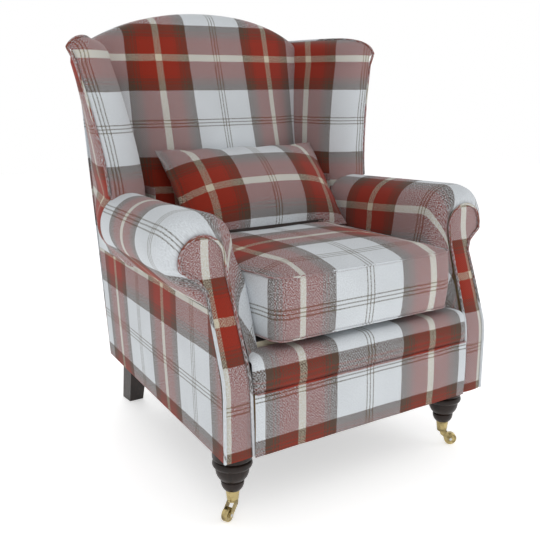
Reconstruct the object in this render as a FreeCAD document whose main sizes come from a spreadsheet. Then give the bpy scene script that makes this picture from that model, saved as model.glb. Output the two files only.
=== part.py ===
import FreeCAD, Part
import math
import os

import Sketcher
from FreeCAD import Vector

# Wing-back fireside chair. Millimetres, +Z up, the front faces -Y, origin on the floor under the middle of
# the chair's outline. Right and left are the sitter's view from the front: +X is the right of the picture.

doc = FreeCAD.newDocument("fireside_chair")
sheet = doc.addObject("Spreadsheet::Sheet", "Dims")

DIMENSIONS = [
    ("cloth", 1.5, "thickness of the upholstery cloth with its lining"),
    ("gap", 0.3, "clearance between soft pieces"),
    ("front_step", 13, "front border's face, ahead of the arm facings' foot"),
    ("rear_y", 342, "frame's rear face, behind the origin"),
    ("base_z", 160, "underside of the frame"),
    ("side_front", 357, "half-width over the outside arms at the front, at the base"),
    ("side_rear", 272, "half-width over the outside arms at the rear, at the base"),
    ("lean_front", 0.02, "outward lean of the sides at the front, per unit of height"),
    ("lean_rear", 0.06, "outward lean of the sides at the rear, per unit of height"),
    ("rail_thick", 24, "seat rail thickness"),
    ("rail_tall", 125, "seat rail height"),
    ("cross_rail_y", 150, "front face of the cross rail behind the seat"),
    ("cross_rail_tall", 90, "cross rail height"),
    ("rear_rail_tall", 90, "bottom rear rail height"),
    ("post_wide", 40, "back post width"),
    ("post_deep", 38, "back post depth"),
    ("post_top", 916, "top of the back posts"),
    ("top_rail_low", 905, "underside of the arched top rail"),
    ("top_rail_thick", 24, "arched top rail thickness"),
    ("top_rail_rear", 20, "top rail's rear face, ahead of the frame's rear face"),
    ("block_leg", 100, "leg length of a corner block"),
    ("block_tall", 60, "corner block height"),
    ("crest_z", 1040, "top of the back at its middle"),
    ("crest_drop", 56, "fall of the arched top towards the wings"),
    ("crest_half", 285, "half-width of the arched top"),
    ("back_y", 168, "inside back's face at the lumbar height, on the centre line"),
    ("back_z", 703, "height at which back_y is taken"),
    ("back_rake", 0.278, "backward slope of the inside back, per unit of height"),
    ("crease_y", 220, "crease between back and wing at the wings' lower edge, behind the origin"),
    ("crease_rake", 0.179, "backward slope of that crease, per unit of height"),
    ("back_half", 251, "half-width of the inside back at seat height"),
    ("back_half_z", 520, "height at which back_half is taken"),
    ("back_flare", 0.05, "outward lean of the wing crease, per unit of height"),
    ("back_rise", 15, "lower edge of the inside back, above the rails"),
    ("back_top_round", 42, "rounding radius of the back's top front edge"),
    ("wing_low", 628, "lower edge of the wings, on the arms"),
    ("wing_top", 977, "top of the wings"),
    ("wing_dome", 55, "height of the wings' rounded top"),
    ("wing_round", 72, "rounding radius of the wings' inner front edge"),
    ("piping_turn", 10, "rounding radius ahead of the wings' piping"),
    ("swell_back", 20, "distance from the piping to the wings' swelling"),
    ("wing_inner", 262, "half-width between the wings at their lower edge"),
    ("wing_inner_flare", 48, "outward curve of the wings' inner faces"),
    ("wing_outer", 368, "half-width over the wings' front edges at their lower edge"),
    ("wing_outer_flare", 52, "outward curve of the wings' front edges"),
    ("wing_span", 302, "height over which the wings' outward curve is given"),
    ("wing_bulge", 8, "swelling of the wings' outer faces behind the piping"),
    ("wing_front", 71, "wings' piping line at their lower edge, behind the origin"),
    ("wing_rake", 0.146, "backward slope of the wings' front edge, per unit of height"),
    ("wing_board_thick", 20, "wing board thickness"),
    ("arm_inner_front", 292, "half-width between the arms at the front"),
    ("arm_inner_rear", 258, "half-width between the arms at the back"),
    ("arm_low", 275, "lower edge of the inside arm cover"),
    ("arm_seam_z", 452, "seam between arm roll and outside arm"),
    ("roll_front_x", 372, "arm roll's middle at the front"),
    ("roll_front_z", 565, "height of the arm roll's middle at the front"),
    ("roll_front_r", 68, "arm roll radius at the front"),
    ("roll_rear_x", 326, "arm roll's middle at the wing"),
    ("roll_rear_z", 558, "height of the arm roll's middle at the wing"),
    ("roll_rear_r", 69, "arm roll radius at the wing"),
    ("roll_rear_y", 74, "rear end of the arm roll's outer part"),
    ("scroll_x", 356.5, "facing scroll's middle"),
    ("scroll_z", 541, "height of the facing scroll's middle"),
    ("scroll_r", 48, "facing scroll radius"),
    ("neck_x", 367.5, "underside of the facing's scroll, half-width"),
    ("neck_z", 507, "height of that underside"),
    ("neck_foot_z", 478, "height at which the facing's neck meets its shaft"),
    ("facing_foot", 387, "arm facing's foot, ahead of the origin"),
    ("facing_neck", 311, "arm facing's scroll, ahead of the origin"),
    ("knee_z", 315, "height at which the facing starts to sweep back"),
    ("knee_slope", 0.36, "backward slope of the facing's sweep, per unit of height"),
    ("knee_r", 150, "bending radius of the facing's knee and neck"),
    ("stump_thick", 26, "thickness of the shaped arm stump"),
    ("arm_rail_wide", 26, "arm rail width"),
    ("arm_rail_tall", 42, "arm rail height"),
    ("slab", 14, "padding thickness of the inside arm below the roll"),
    ("piping_r", 2.6, "piping radius"),
    ("lip_top", 358, "top of the padded lip"),
    ("lip_deep", 62, "depth of the padded lip"),
    ("deck_z", 366, "top of the seat deck's padding"),
    ("deck_cloth", 1.0, "thickness of the deck cloth"),
    ("spring_rise", 5, "height of the seat springs above the rails"),
    ("spring_wire", 3.8, "seat spring wire diameter"),
    ("spring_pitch", 104, "distance from one seat spring to the next"),
    ("spring_loop", 22, "length of one bend of a seat spring"),
    ("spring_wide", 50, "width of a seat spring"),
    ("strap_wide", 55, "width of a back webbing strap"),
    ("strap_pitch", 96, "distance from one strap to the next"),
    ("strap_thick", 2, "thickness of a strap"),
    ("seat_front", 393, "seat cushion's front, ahead of the origin"),
    ("seat_rear", 68, "seat cushion's rear, behind the origin"),
    ("seat_half", 249, "half-width of the seat cushion"),
    ("seat_x", -7, "seat cushion's middle, right of the chair's middle"),
    ("seat_boxing", 128, "height of the seat cushion's boxing"),
    ("seat_crown", 16, "crown of the seat cushion's top"),
    ("seat_sag", 10, "belly of the seat cushion's underside"),
    ("seat_corner", 34, "corner radius of the seat cushion's front"),
    ("lumbar_wide", 464, "width of the lumbar cushion"),
    ("lumbar_tall", 268, "height of the lumbar cushion"),
    ("lumbar_thick", 128, "thickness of the lumbar cushion"),
    ("lumbar_front", 1.2, "share of the lumbar cushion's half-thickness on its front side"),
    ("lumbar_x", 18, "lumbar cushion's middle, right of the chair's middle"),
    ("lumbar_lean", 42, "lean of the lumbar cushion, in degrees"),
    ("zip_tall", 14, "width of a zip"),
    ("zip_long_seat", 380, "length of the seat cushion's zip"),
    ("zip_long_lumbar", 300, "length of the lumbar cushion's zip"),
    ("zip_rise", 6, "height of the lumbar cushion's zip above its lower seam"),
    ("slider_long", 12, "length of a zip slider"),
    ("leg_x", 303, "front leg axis from the middle"),
    ("leg_back", 59, "front leg axis, behind the arm facings' foot"),
    ("leg_top_r", 41.5, "front leg's top disc radius"),
    ("leg_ring_r", 38.5, "front leg's ring radius"),
    ("leg_bowl_r", 34.5, "front leg's large bowl radius"),
    ("leg_cup_r", 24, "front leg's small bowl radius"),
    ("leg_ankle_r", 16, "front leg's radius above the castor cup"),
    ("leg_ring_z", 130, "underside of the top disc"),
    ("leg_bowl_z", 112, "top of the large bowl"),
    ("leg_small_z", 83, "top of the small bowl"),
    ("cup_top_z", 62, "top of the castor cup"),
    ("cup_low_z", 40, "bottom of the castor cup"),
    ("cup_top_r", 15, "castor cup's outer radius at its top"),
    ("cup_low_r", 12.2, "castor cup's outer radius at its bottom"),
    ("cup_wall", 1.2, "castor cup's wall"),
    ("swivel_r", 3, "castor swivel pin radius"),
    ("running", 0.05, "radial running clearance of pins"),
    ("horn_plate", 3.4, "thickness of the castor horn's plate"),
    ("cheek_thick", 2.2, "thickness of a horn's cheek"),
    ("cheek_r", 6, "radius of a horn's cheek round the axle"),
    ("wheel_r", 15, "castor wheel radius"),
    ("wheel_wide", 14, "castor wheel width"),
    ("axle_r", 2, "castor axle radius"),
    ("trail", 21, "castor trail"),
    ("castor_turn_left", 206.8, "resting direction of the left castor, in degrees"),
    ("castor_turn_right", 325.5, "resting direction of the right castor, in degrees"),
    ("rear_leg_top", 50, "rear leg's width at its top"),
    ("rear_leg_foot_wide", 40, "rear leg's width at its foot"),
    ("rear_leg_foot_deep", 46, "rear leg's depth at its foot"),
    ("rear_leg_top_x", 210, "rear leg's top from the middle"),
    ("rear_leg_top_y", 314, "rear leg's top, behind the origin"),
    ("rear_leg_foot_x", 196, "rear leg's foot from the middle"),
    ("rear_leg_foot_y", 377, "rear leg's foot, behind the origin"),
    ("bolt_r", 4, "hanger bolt radius"),
    ("bolt_up", 45, "hanger bolt's length above the leg"),
    ("bolt_down", 30, "hanger bolt's length inside the leg"),
    ("dust_thick", 1.2, "thickness of the dust cover"),
]
for row, (alias, number, meaning) in enumerate(DIMENSIONS, start=1):
    sheet.set(f"A{row}", meaning)
    sheet.set(f"B{row}", str(number))
    sheet.setAlias(f"B{row}", alias)
doc.recompute()
d = sheet

# Places that follow from several dimensions, as expressions and as numbers.

FRONT_Y = "(Dims.facing_foot + Dims.front_step)"
LEG_Y = "(Dims.facing_foot - Dims.leg_back)"
RAIL_TOP = "(Dims.base_z + Dims.rail_tall)"
SPRING_Z = f"({RAIL_TOP} + Dims.spring_rise)"
front_y = d.facing_foot + d.front_step
leg_y = d.facing_foot - d.leg_back
rail_top_z = d.base_z + d.rail_tall
spring_z = rail_top_z + d.spring_rise
back_low = rail_top_z + d.back_rise
wing_shoulder = d.wing_top - d.wing_dome

NODES = []


def node(thing, name):
    """Name a finished object: its label is its file's name."""
    thing.Label = name
    NODES.append(thing)
    return thing


# Sketch and body helpers.

def number_of(expression):
    """Value of a sheet expression."""
    return float(sheet.evalExpression(expression))


def new_body(name):
    """An empty body."""
    return doc.addObject("PartDesign::Body", name)


def new_sketch(body, name, role, lift="0"):
    """A sketch on one of a body's own origin planes, lifted along the plane's normal."""
    sketch = body.newObject("Sketcher::SketchObject", name)
    plane = [o for o in body.Origin.OriginFeatures if o.Role == role][0]
    sketch.AttachmentSupport = [(plane, "")]
    sketch.MapMode = "FlatFace"
    sketch.setExpression("AttachmentOffset.Base.z", lift)
    return sketch


def tie(sketch, kind, geometry, position, expression):
    """Fix one coordinate of a sketch point to an expression, measured from the sketch's origin."""
    rule = sketch.addConstraint(
        Sketcher.Constraint(kind, -1, 1, geometry, position, number_of(expression)))
    sketch.setExpression(f"Constraints[{rule}]", expression)


def draw(sketch, corners, arcs=None):
    """A closed outline through corners given as expression pairs; arcs: side to (radius, bulge side)."""
    arcs = arcs or {}
    spots = [Vector(number_of(a), number_of(b), 0) for a, b in corners]
    count = len(spots)
    start_end = []
    ids = []
    for side in range(count):
        begin = spots[side]
        finish = spots[(side + 1) % count]
        if side in arcs:
            radius_text, bulge = arcs[side]
            radius = number_of(radius_text)
            chord = finish - begin
            rise = math.sqrt(max(radius ** 2 - chord.Length ** 2 / 4, 0))
            normal = Vector(-chord.y, chord.x, 0).normalize()
            centre = (begin + finish) / 2 + normal * rise * bulge
            first = math.atan2(begin.y - centre.y, begin.x - centre.x)
            last = math.atan2(finish.y - centre.y, finish.x - centre.x)
            circle = Part.Circle(centre, Vector(0, 0, 1), radius)
            if bulge > 0:
                ids.append(sketch.addGeometry(Part.ArcOfCircle(circle, first, last), False))
                start_end.append((1, 2))
            else:
                ids.append(sketch.addGeometry(Part.ArcOfCircle(circle, last, first), False))
                start_end.append((2, 1))
            rule = sketch.addConstraint(Sketcher.Constraint("Radius", ids[-1], radius))
            sketch.setExpression(f"Constraints[{rule}]", radius_text)
        else:
            ids.append(sketch.addGeometry(Part.LineSegment(begin, finish), False))
            start_end.append((1, 2))
    for side in range(count):
        after = (side + 1) % count
        sketch.addConstraint(Sketcher.Constraint(
            "Coincident", ids[side], start_end[side][1], ids[after], start_end[after][0]))
    for side, (across, up) in enumerate(corners):
        tie(sketch, "DistanceX", ids[side], start_end[side][0], across)
        tie(sketch, "DistanceY", ids[side], start_end[side][0], up)


def ring(sketch, across, up, radius):
    """A circle whose middle and radius are expressions."""
    spot = Vector(number_of(across), number_of(up), 0)
    made = sketch.addGeometry(Part.Circle(spot, Vector(0, 0, 1), number_of(radius)), False)
    tie(sketch, "DistanceX", made, 3, across)
    tie(sketch, "DistanceY", made, 3, up)
    rule = sketch.addConstraint(Sketcher.Constraint("Radius", made, number_of(radius)))
    sketch.setExpression(f"Constraints[{rule}]", radius)


def pad(body, sketch, name, length, symmetric=False):
    """Pad a sketch by an expression's length."""
    made = body.newObject("PartDesign::Pad", name)
    made.Profile = sketch
    made.setExpression("Length", length)
    made.Midplane = symmetric
    return made


def pocket_through(body, sketch, name):
    """Cut a sketch right through a body, both ways."""
    made = body.newObject("PartDesign::Pocket", name)
    made.Profile = sketch
    made.Type = "ThroughAll"
    made.Midplane = True
    return made


def block(name, corners, role, lift, length, arcs=None):
    """A body padded from one outline."""
    body = new_body(name)
    sketch = new_sketch(body, name + "_outline", role, lift)
    draw(sketch, corners, arcs)
    pad(body, sketch, name + "_pad", length)
    return body


def turned(name, corners, arcs=None):
    """A body of revolution round the vertical axis; corners are (radius, height) expressions."""
    body = new_body(name)
    sketch = new_sketch(body, name + "_profile", "XZ_Plane")
    draw(sketch, corners, arcs)
    spin = body.newObject("PartDesign::Revolution", name + "_turning")
    spin.Profile = sketch
    spin.ReferenceAxis = (sketch, ["V_Axis"])
    spin.Angle = 360
    return body


def mirrored(source, name):
    """The left-hand copy of a right-hand piece."""
    copy = doc.addObject("Part::Mirroring", name)
    copy.Source = source
    copy.Normal = Vector(1, 0, 0)
    return copy


def both_sides(source, name):
    """One node that holds a right-hand piece and its mirror image."""
    pair = doc.addObject("Part::Compound", name)
    pair.Links = [source, mirrored(source, name + "_mirror")]
    return node(pair, name)


def soft(shape, name):
    """A sculpted piece whose shape comes from the section functions below."""
    made = doc.addObject("Part::Feature", name)
    made.Shape = shape
    return made


def soft_pair(shape, stem):
    """Right and left nodes of one sculpted piece."""
    right = soft(shape, stem + "_right_form")
    node(right, stem + "_right")
    node(mirrored(right, stem + "_left_form"), stem + "_left")


# Section helpers for the sculpted pieces: a section is a list of corners with a rounding radius at each.

def turn_sign(corners):
    """+1 when the corners run anticlockwise, -1 when they run clockwise."""
    area = 0
    for index, (x, y) in enumerate(corners):
        after = corners[(index + 1) % len(corners)]
        area += x * after[1] - after[0] * y
    return 1 if area > 0 else -1


def inset(corners, amount):
    """Corners of the same section with every side moved inwards."""
    sign = turn_sign(corners)
    count = len(corners)
    lines = []
    for index in range(count):
        x, y = corners[index]
        u, v = corners[(index + 1) % count]
        length = math.hypot(u - x, v - y)
        nx = -(v - y) / length * sign
        ny = (u - x) / length * sign
        lines.append((x + nx * amount, y + ny * amount, u - x, v - y))
    moved = []
    for index in range(count):
        x1, y1, a1, b1 = lines[index - 1]
        x2, y2, a2, b2 = lines[index]
        cross = a1 * b2 - b1 * a2
        along = ((x2 - x1) * b2 - (y2 - y1) * a2) / cross
        moved.append((x1 + a1 * along, y1 + b1 * along))
    return moved


def inset_radii(corners, radii, amount):
    """Rounding radii that keep the inset section's arcs concentric."""
    sign = turn_sign(corners)
    count = len(corners)
    changed = []
    for index in range(count):
        if radii[index] == 0:
            changed.append(0)
            continue
        x0, y0 = corners[index - 1]
        x1, y1 = corners[index]
        x2, y2 = corners[(index + 1) % count]
        convex = ((x1 - x0) * (y2 - y1) - (y1 - y0) * (x2 - x1)) * sign > 0
        changed.append(max(radii[index] - amount, 0.4) if convex else radii[index] + amount)
    return changed


def section(corners, radii, place):
    """Closed wire of straight sides and tangent arcs; place maps a section point into the chair's frame."""
    count = len(corners)
    ends = []
    for index in range(count):
        corner = Vector(*corners[index], 0)
        back = (Vector(*corners[index - 1], 0) - corner).normalize()
        on = (Vector(*corners[(index + 1) % count], 0) - corner).normalize()
        if radii[index] == 0:
            ends.append((corner, None, corner))
            continue
        half = back.getAngle(on) / 2
        reach = radii[index] / math.tan(half)
        middle = (back + on).normalize() * (radii[index] / math.sin(half) - radii[index])
        ends.append((corner + back * reach, corner + middle, corner + on * reach))
    edges = []
    for index in range(count):
        start, middle, finish = ends[index]
        if middle is not None:
            edges.append(Part.Arc(place(start), place(middle), place(finish)).toShape())
        following = ends[(index + 1) % count][0]
        edges.append(Part.LineSegment(place(finish), place(following)).toShape())
    return Part.Wire(edges)


def skin_section(corners, radii, first, last, thick):
    """Section of a cloth that covers the sides from corner first to corner last."""
    inner = inset(corners, thick)
    inner_r = inset_radii(corners, radii, thick)
    outward = list(range(first, last + 1))
    path = [corners[k] for k in outward] + [inner[k] for k in reversed(outward)]
    rounds = [0 if k in (first, last) else radii[k] for k in outward]
    rounds += [0 if k in (first, last) else inner_r[k] for k in reversed(outward)]
    return path, rounds


def loft(wires, ruled=True):
    """A closed solid through sections."""
    made = Part.makeLoft(wires, True, ruled)
    return made if made.isValid() else made.removeSplitter()


# Shape of the chair's surfaces.

def side_x(y, z):
    """Half-width over the outside arm panels."""
    rise = z - d.base_z
    front = d.side_front + d.lean_front * rise
    rear = d.side_rear + d.lean_rear * rise
    return front + (rear - front) * (y + d.facing_foot) / (d.rear_y + d.facing_foot)


def arm_inner(y):
    """Half-width between the inside arms, narrowing towards the back."""
    rear = d.cross_rail_y - 30
    share = min((y + d.facing_foot) / (rear + d.facing_foot), 1)
    return d.arm_inner_front + (d.arm_inner_rear - d.arm_inner_front) * share


def facing_y(z):
    """Side profile of the arm facing: upright foot, sweep back above the knee, upright scroll."""
    angle = math.atan(d.knee_slope)
    reach = d.knee_r * math.tan(angle / 2)
    foot = -d.facing_foot
    neck = -d.facing_neck
    neck_z = d.knee_z + (neck - foot) / d.knee_slope
    if z <= d.knee_z - reach:
        return foot
    if z >= neck_z + reach:
        return neck
    if z < d.knee_z + reach * math.cos(angle):
        return foot + d.knee_r - math.sqrt(d.knee_r ** 2 - (z - d.knee_z + reach) ** 2)
    if z > neck_z - reach * math.cos(angle):
        return neck - d.knee_r + math.sqrt(d.knee_r ** 2 - (neck_z + reach - z) ** 2)
    return foot + (z - d.knee_z) * d.knee_slope


def back_face(z):
    """Front face of the inside back on the centre line."""
    return d.back_y + d.back_rake * (z - d.back_z)


def crease_line(z):
    """Depth at which the inside back meets the wings."""
    return d.crease_y + d.crease_rake * (z - d.wing_low)


def crease_x(z):
    """Half-width at which the inside back meets the wings."""
    return d.back_half + d.back_flare * (z - d.back_half_z)


def crest(x):
    """Height of the arched top."""
    return d.crest_z - d.crest_drop * (x / d.crest_half) ** 2


def flare(z):
    """Growing outward curve of a wing, 0 at its lower edge and 1 near its top."""
    return max((z - d.wing_low) / d.wing_span, 0) ** 1.5


def wing_level(share):
    """Height at a share of the wings' plain part, from the arm to the shoulder."""
    return d.wing_low + (wing_shoulder - d.wing_low) * share


def dome_level(share):
    """Height in the wings' rounded top, at a share of it below the top."""
    return d.wing_top - d.wing_dome * share


def wing_inner_x(z):
    """Inner front corner of a wing."""
    return d.wing_inner + d.wing_inner_flare * flare(z)


def wing_outer_x(z):
    """Outer front edge of a wing."""
    return d.wing_outer + d.wing_outer_flare * flare(z)


def wing_piping_y(z):
    """Place of the piping along a wing's front edge."""
    return d.wing_front + d.wing_rake * (z - d.wing_low)


def wing_corners(z, back_end=None, dome=(0, 0, 0, 0)):
    """Plan of a wing: crease, inner front, outer front, piping, swelling, rear outer and rear inner corners.

    The dome holds how far the crease, inner front, outer and front sides are drawn in.
    """
    crease, inner, outwards, ahead = dome
    rear_line = d.rear_y - d.post_deep - 3 if back_end is None else back_end
    front = wing_piping_y(z) - d.piping_turn + ahead
    outer = wing_outer_x(z) + 1 - outwards
    piping = wing_piping_y(z) + 1 + ahead
    swell = (outer + d.wing_bulge, piping + d.swell_back)
    rear = side_x(d.rear_y, z) - crease * 0.5
    part = (rear_line - swell[1]) / (d.rear_y - swell[1])
    return [
        (crease_x(z) + d.gap + crease, crease_line(z)),
        (wing_inner_x(z) + inner, front),
        (outer, front),
        (outer, piping),
        swell,
        (swell[0] + (rear - swell[0]) * part, rear_line - crease * 0.3),
        (crease_x(z) + d.gap + crease, rear_line - crease * 0.3),
    ]


def wing_rounds(corners):
    """Rounding radii of a wing's plan, limited by its width at the front."""
    width = corners[2][0] - corners[1][0]
    small = min(d.piping_turn - 0.5, width * 0.2)
    return [0, min(d.wing_round, width - small - 4), small, 0, 0, 0, 0]


def roll_corners(y, middle_x, middle_z, radius):
    """Section of an arm: inner face, roll, underside back to the seam, and the hollow over the arm rail."""
    inner = arm_inner(y)
    seam = side_x(y, d.arm_seam_z)
    across = seam - middle_x
    down = d.arm_seam_z - middle_z
    angle = math.atan2(down, across) + math.acos(radius / math.hypot(across, down))
    under = middle_z + radius * math.tan(angle / 2)
    rail_top = d.arm_seam_z + d.arm_rail_tall + 4
    rail_in = seam - d.arm_rail_wide - 3
    slab_top = d.arm_seam_z - 12
    rise = (slab_top - d.arm_low) / (middle_z + radius - d.arm_low)
    slab_x = inner + (middle_x - radius - inner) * rise + d.slab
    return [
        (inner, d.arm_low),
        (middle_x - radius, middle_z + radius),
        (middle_x + radius, middle_z + radius),
        (middle_x + radius, under),
        (seam, d.arm_seam_z),
        (seam - 2, rail_top),
        (rail_in, rail_top),
        (rail_in, d.arm_seam_z),
        (slab_x, slab_top),
        (inner + d.slab, d.arm_low),
    ]


def roll_rounds(radius):
    """Rounding radii of an arm's section."""
    turn = radius - 1
    return [0, turn, turn, turn, 0, 0, 0, 0, 0, 0]


def roll_stations(end_y):
    """Places along an arm with the roll's middle and radius: a gathered front end, then a plain roll."""
    neck = -d.facing_neck
    swell = [(0.6, 0.0), (6, 0.45), (16, 0.78), (30, 1.0)]
    stations = []
    for step, share in swell:
        stations.append((
            neck + step,
            d.scroll_x + (d.roll_front_x - d.scroll_x) * share,
            d.scroll_z + (d.roll_front_z - d.scroll_z) * share,
            d.scroll_r + 1 + (d.roll_front_r - d.scroll_r - 1) * share,
        ))
    start = neck + swell[-1][0]
    for share in (0.5, 1.0):
        stations.append((
            start + (end_y - start) * share,
            d.roll_front_x + (d.roll_rear_x - d.roll_front_x) * share,
            d.roll_front_z + (d.roll_rear_z - d.roll_front_z) * share,
            d.roll_front_r + (d.roll_rear_r - d.roll_front_r) * share,
        ))
    return stations


SCROLL_END = -14


def facing_outline(grow):
    """Front view of the arm facing, grown outwards: foot, scroll tip, neck under the scroll and shaft."""
    inner_low = d.arm_inner_front + d.cloth + d.gap - grow
    outer_low = side_x(-d.facing_foot, d.base_z) - d.cloth - d.gap + grow
    outer_high = side_x(-d.facing_neck, d.neck_foot_z) - d.cloth - d.gap + grow
    radius = d.scroll_r - 1 + grow
    neck = (d.neck_x + grow * 0.6, d.neck_z - grow * 0.8)
    return inner_low, outer_low, outer_high, radius, neck


def scroll_point(radius, degrees):
    """Point on the facing's scroll."""
    angle = math.radians(degrees)
    return d.scroll_x + radius * math.cos(angle), d.scroll_z + radius * math.sin(angle)


def facing_prism(grow, low, depth_from, depth_to):
    """The facing's outline extruded front to back."""
    inner_low, outer_low, outer_high, radius, neck = facing_outline(grow)

    def at(point):
        return Vector(point[0], depth_from, point[1])

    foot_in = at((inner_low, low))
    foot_out = at((outer_low, low))
    tip_in, top, tip_out = [at(scroll_point(radius, angle)) for angle in (180, 90, SCROLL_END)]
    shaft_top = at((outer_high, d.neck_foot_z))
    hollow = at(((neck[0] + outer_high) / 2 - 2, (neck[1] + d.neck_foot_z) / 2 + 1))
    edges = [
        Part.LineSegment(foot_in, tip_in).toShape(),
        Part.Arc(tip_in, at(scroll_point(radius, 135)), top).toShape(),
        Part.Arc(top, at(scroll_point(radius, 38)), tip_out).toShape(),
        Part.LineSegment(tip_out, at(neck)).toShape(),
        Part.Arc(at(neck), hollow, shaft_top).toShape(),
        Part.LineSegment(shaft_top, foot_out).toShape(),
        Part.LineSegment(foot_out, foot_in).toShape(),
    ]
    return Part.Face(Part.Wire(edges)).extrude(Vector(0, depth_to - depth_from, 0))


def facing_layer(near, far, low):
    """A slab between two copies of the facing's side profile, moved back by near and far."""
    top = d.scroll_z + d.scroll_r + 20
    heights = [low, d.knee_z - 30, d.knee_z, d.knee_z + 30, d.knee_z + 110, d.knee_z + 180]
    heights += [d.knee_z + 211, d.knee_z + 245, top]
    front = [Vector(200, facing_y(z) + near, z) for z in heights]
    rear = [Vector(200, facing_y(z) + far, z) for z in reversed(heights)]
    outline = front + rear + [front[0]]
    return Part.Face(Part.makePolygon(outline)).extrude(Vector(300, 0, 0))


# Seat frame: front rail between the stumps, side rails, cross rail under the back's foot, bottom rear rail.

node(block(
    "front_rail",
    [("-Dims.arm_inner_front + 3", "Dims.base_z"), ("Dims.arm_inner_front - 3", "Dims.base_z"),
     ("Dims.arm_inner_front - 3", "Dims.base_z + Dims.rail_tall"),
     ("-Dims.arm_inner_front + 3", "Dims.base_z + Dims.rail_tall")],
    "XZ_Plane", f"{FRONT_Y} - 4 - Dims.rail_thick", "Dims.rail_thick"), "front_rail")

BACK_RAIL = block(
    "back_rail",
    [("-Dims.side_rear + Dims.post_wide + 4", "Dims.base_z"),
     ("Dims.side_rear - Dims.post_wide - 4", "Dims.base_z"),
     ("Dims.side_rear - Dims.post_wide - 4", "Dims.base_z + Dims.rear_rail_tall"),
     ("-Dims.side_rear + Dims.post_wide + 4", "Dims.base_z + Dims.rear_rail_tall")],
    "XZ_Plane", "-Dims.rear_y + 2", "Dims.rail_thick")
bores = new_sketch(BACK_RAIL, "back_rail_bores", "XY_Plane", "Dims.base_z")
ring(bores, "Dims.rear_leg_top_x", "Dims.rear_leg_top_y + 12", "Dims.bolt_r")
ring(bores, "-Dims.rear_leg_top_x", "Dims.rear_leg_top_y + 12", "Dims.bolt_r")
pocket_through(BACK_RAIL, bores, "back_rail_holes")
node(BACK_RAIL, "back_rail")

SLOPE = "(Dims.side_front - Dims.side_rear) / (Dims.rear_y + Dims.facing_foot)"
RAIL_FRONT = "-Dims.facing_foot + Dims.stump_thick + 2.4"
RAIL_REAR = "Dims.rear_y - Dims.post_deep - 2"


def side_line(y_text, inward_text):
    """Expression for the half-width at the base at some place along the side, less an inward step."""
    return f"Dims.side_front - {SLOPE} * ({y_text} + Dims.facing_foot) - ({inward_text})"


CROSS_HALF = side_line("Dims.cross_rail_y + Dims.rail_thick", "Dims.rail_thick + 2.4")
node(block(
    "cross_rail",
    [(f"-({CROSS_HALF})", "Dims.base_z + Dims.rail_tall - Dims.cross_rail_tall"),
     (CROSS_HALF, "Dims.base_z + Dims.rail_tall - Dims.cross_rail_tall"),
     (CROSS_HALF, "Dims.base_z + Dims.rail_tall"), (f"-({CROSS_HALF})", "Dims.base_z + Dims.rail_tall")],
    "XZ_Plane", "-Dims.cross_rail_y - Dims.rail_thick", "Dims.rail_thick"), "cross_rail")

both_sides(block(
    "side_rail",
    [(side_line(RAIL_FRONT, "Dims.rail_thick + 2"), RAIL_FRONT), (side_line(RAIL_FRONT, "2"), RAIL_FRONT),
     (side_line(RAIL_REAR, "2"), RAIL_REAR), (side_line(RAIL_REAR, "Dims.rail_thick + 2"), RAIL_REAR)],
    "XY_Plane", "Dims.base_z", "Dims.rail_tall"), "side_rails")


def corner_block(name, x_text, y_text, x_way, y_way):
    """A triangular block in a corner of the seat frame, bored for the leg's hanger bolt at the front."""
    return block(
        name,
        [(x_text, y_text), (f"{x_text} - ({x_way}) * Dims.block_leg", y_text),
         (x_text, f"{y_text} + ({y_way}) * Dims.block_leg")],
        "XY_Plane", "Dims.base_z + 2", "Dims.block_tall")


FRONT_BLOCK = corner_block(
    "front_block", side_line("-Dims.facing_foot + Dims.stump_thick + Dims.block_leg", "Dims.rail_thick + 3"),
    f"-{FRONT_Y} + Dims.rail_thick + 18", "1", "1")
bore = new_sketch(FRONT_BLOCK, "front_block_bore", "XY_Plane", "Dims.base_z")
ring(bore, "Dims.leg_x", f"-{LEG_Y}", "Dims.bolt_r")
pocket_through(FRONT_BLOCK, bore, "front_block_hole")
REAR_BLOCK = corner_block(
    "rear_block", side_line("Dims.rear_y - Dims.post_deep - 3", "Dims.rail_thick + 3"),
    "Dims.rear_y - Dims.post_deep - 3", "1", "-1")
blocks = doc.addObject("Part::Compound", "corner_block_set")
blocks.Links = [FRONT_BLOCK, REAR_BLOCK, mirrored(FRONT_BLOCK, "front_block_left"),
                mirrored(REAR_BLOCK, "rear_block_left")]
node(blocks, "corner_blocks")


# Back frame: raked posts that lean outwards, the arched top rail between them.

def slanted(name, sections):
    """A body lofted through rectangles given as (height, left, right, front, rear) expressions."""
    body = new_body(name)
    made = body.newObject("PartDesign::AdditiveLoft", name + "_loft")
    sketches = []
    for index, (height, left, right, front, rear) in enumerate(sections):
        sketch = new_sketch(body, f"{name}_level_{index}", "XY_Plane", height)
        draw(sketch, [(left, front), (right, front), (right, rear), (left, rear)])
        sketches.append(sketch)
    made.Profile = sketches[0]
    made.Sections = sketches[1:]
    made.Ruled = True
    body.Tip = made
    return body


POST_LOW = "Dims.side_rear - 3"
POST_HIGH = "Dims.side_rear + Dims.lean_rear * (Dims.post_top - Dims.base_z) - 3"
both_sides(slanted("back_post", [
    ("Dims.base_z", f"{POST_LOW} - Dims.post_wide", POST_LOW, "Dims.rear_y - Dims.post_deep",
     "Dims.rear_y - 0.5"),
    ("Dims.post_top", f"{POST_HIGH} - Dims.post_wide", POST_HIGH, "Dims.rear_y - Dims.post_deep",
     "Dims.rear_y - 0.5"),
]), "back_posts")

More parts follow.
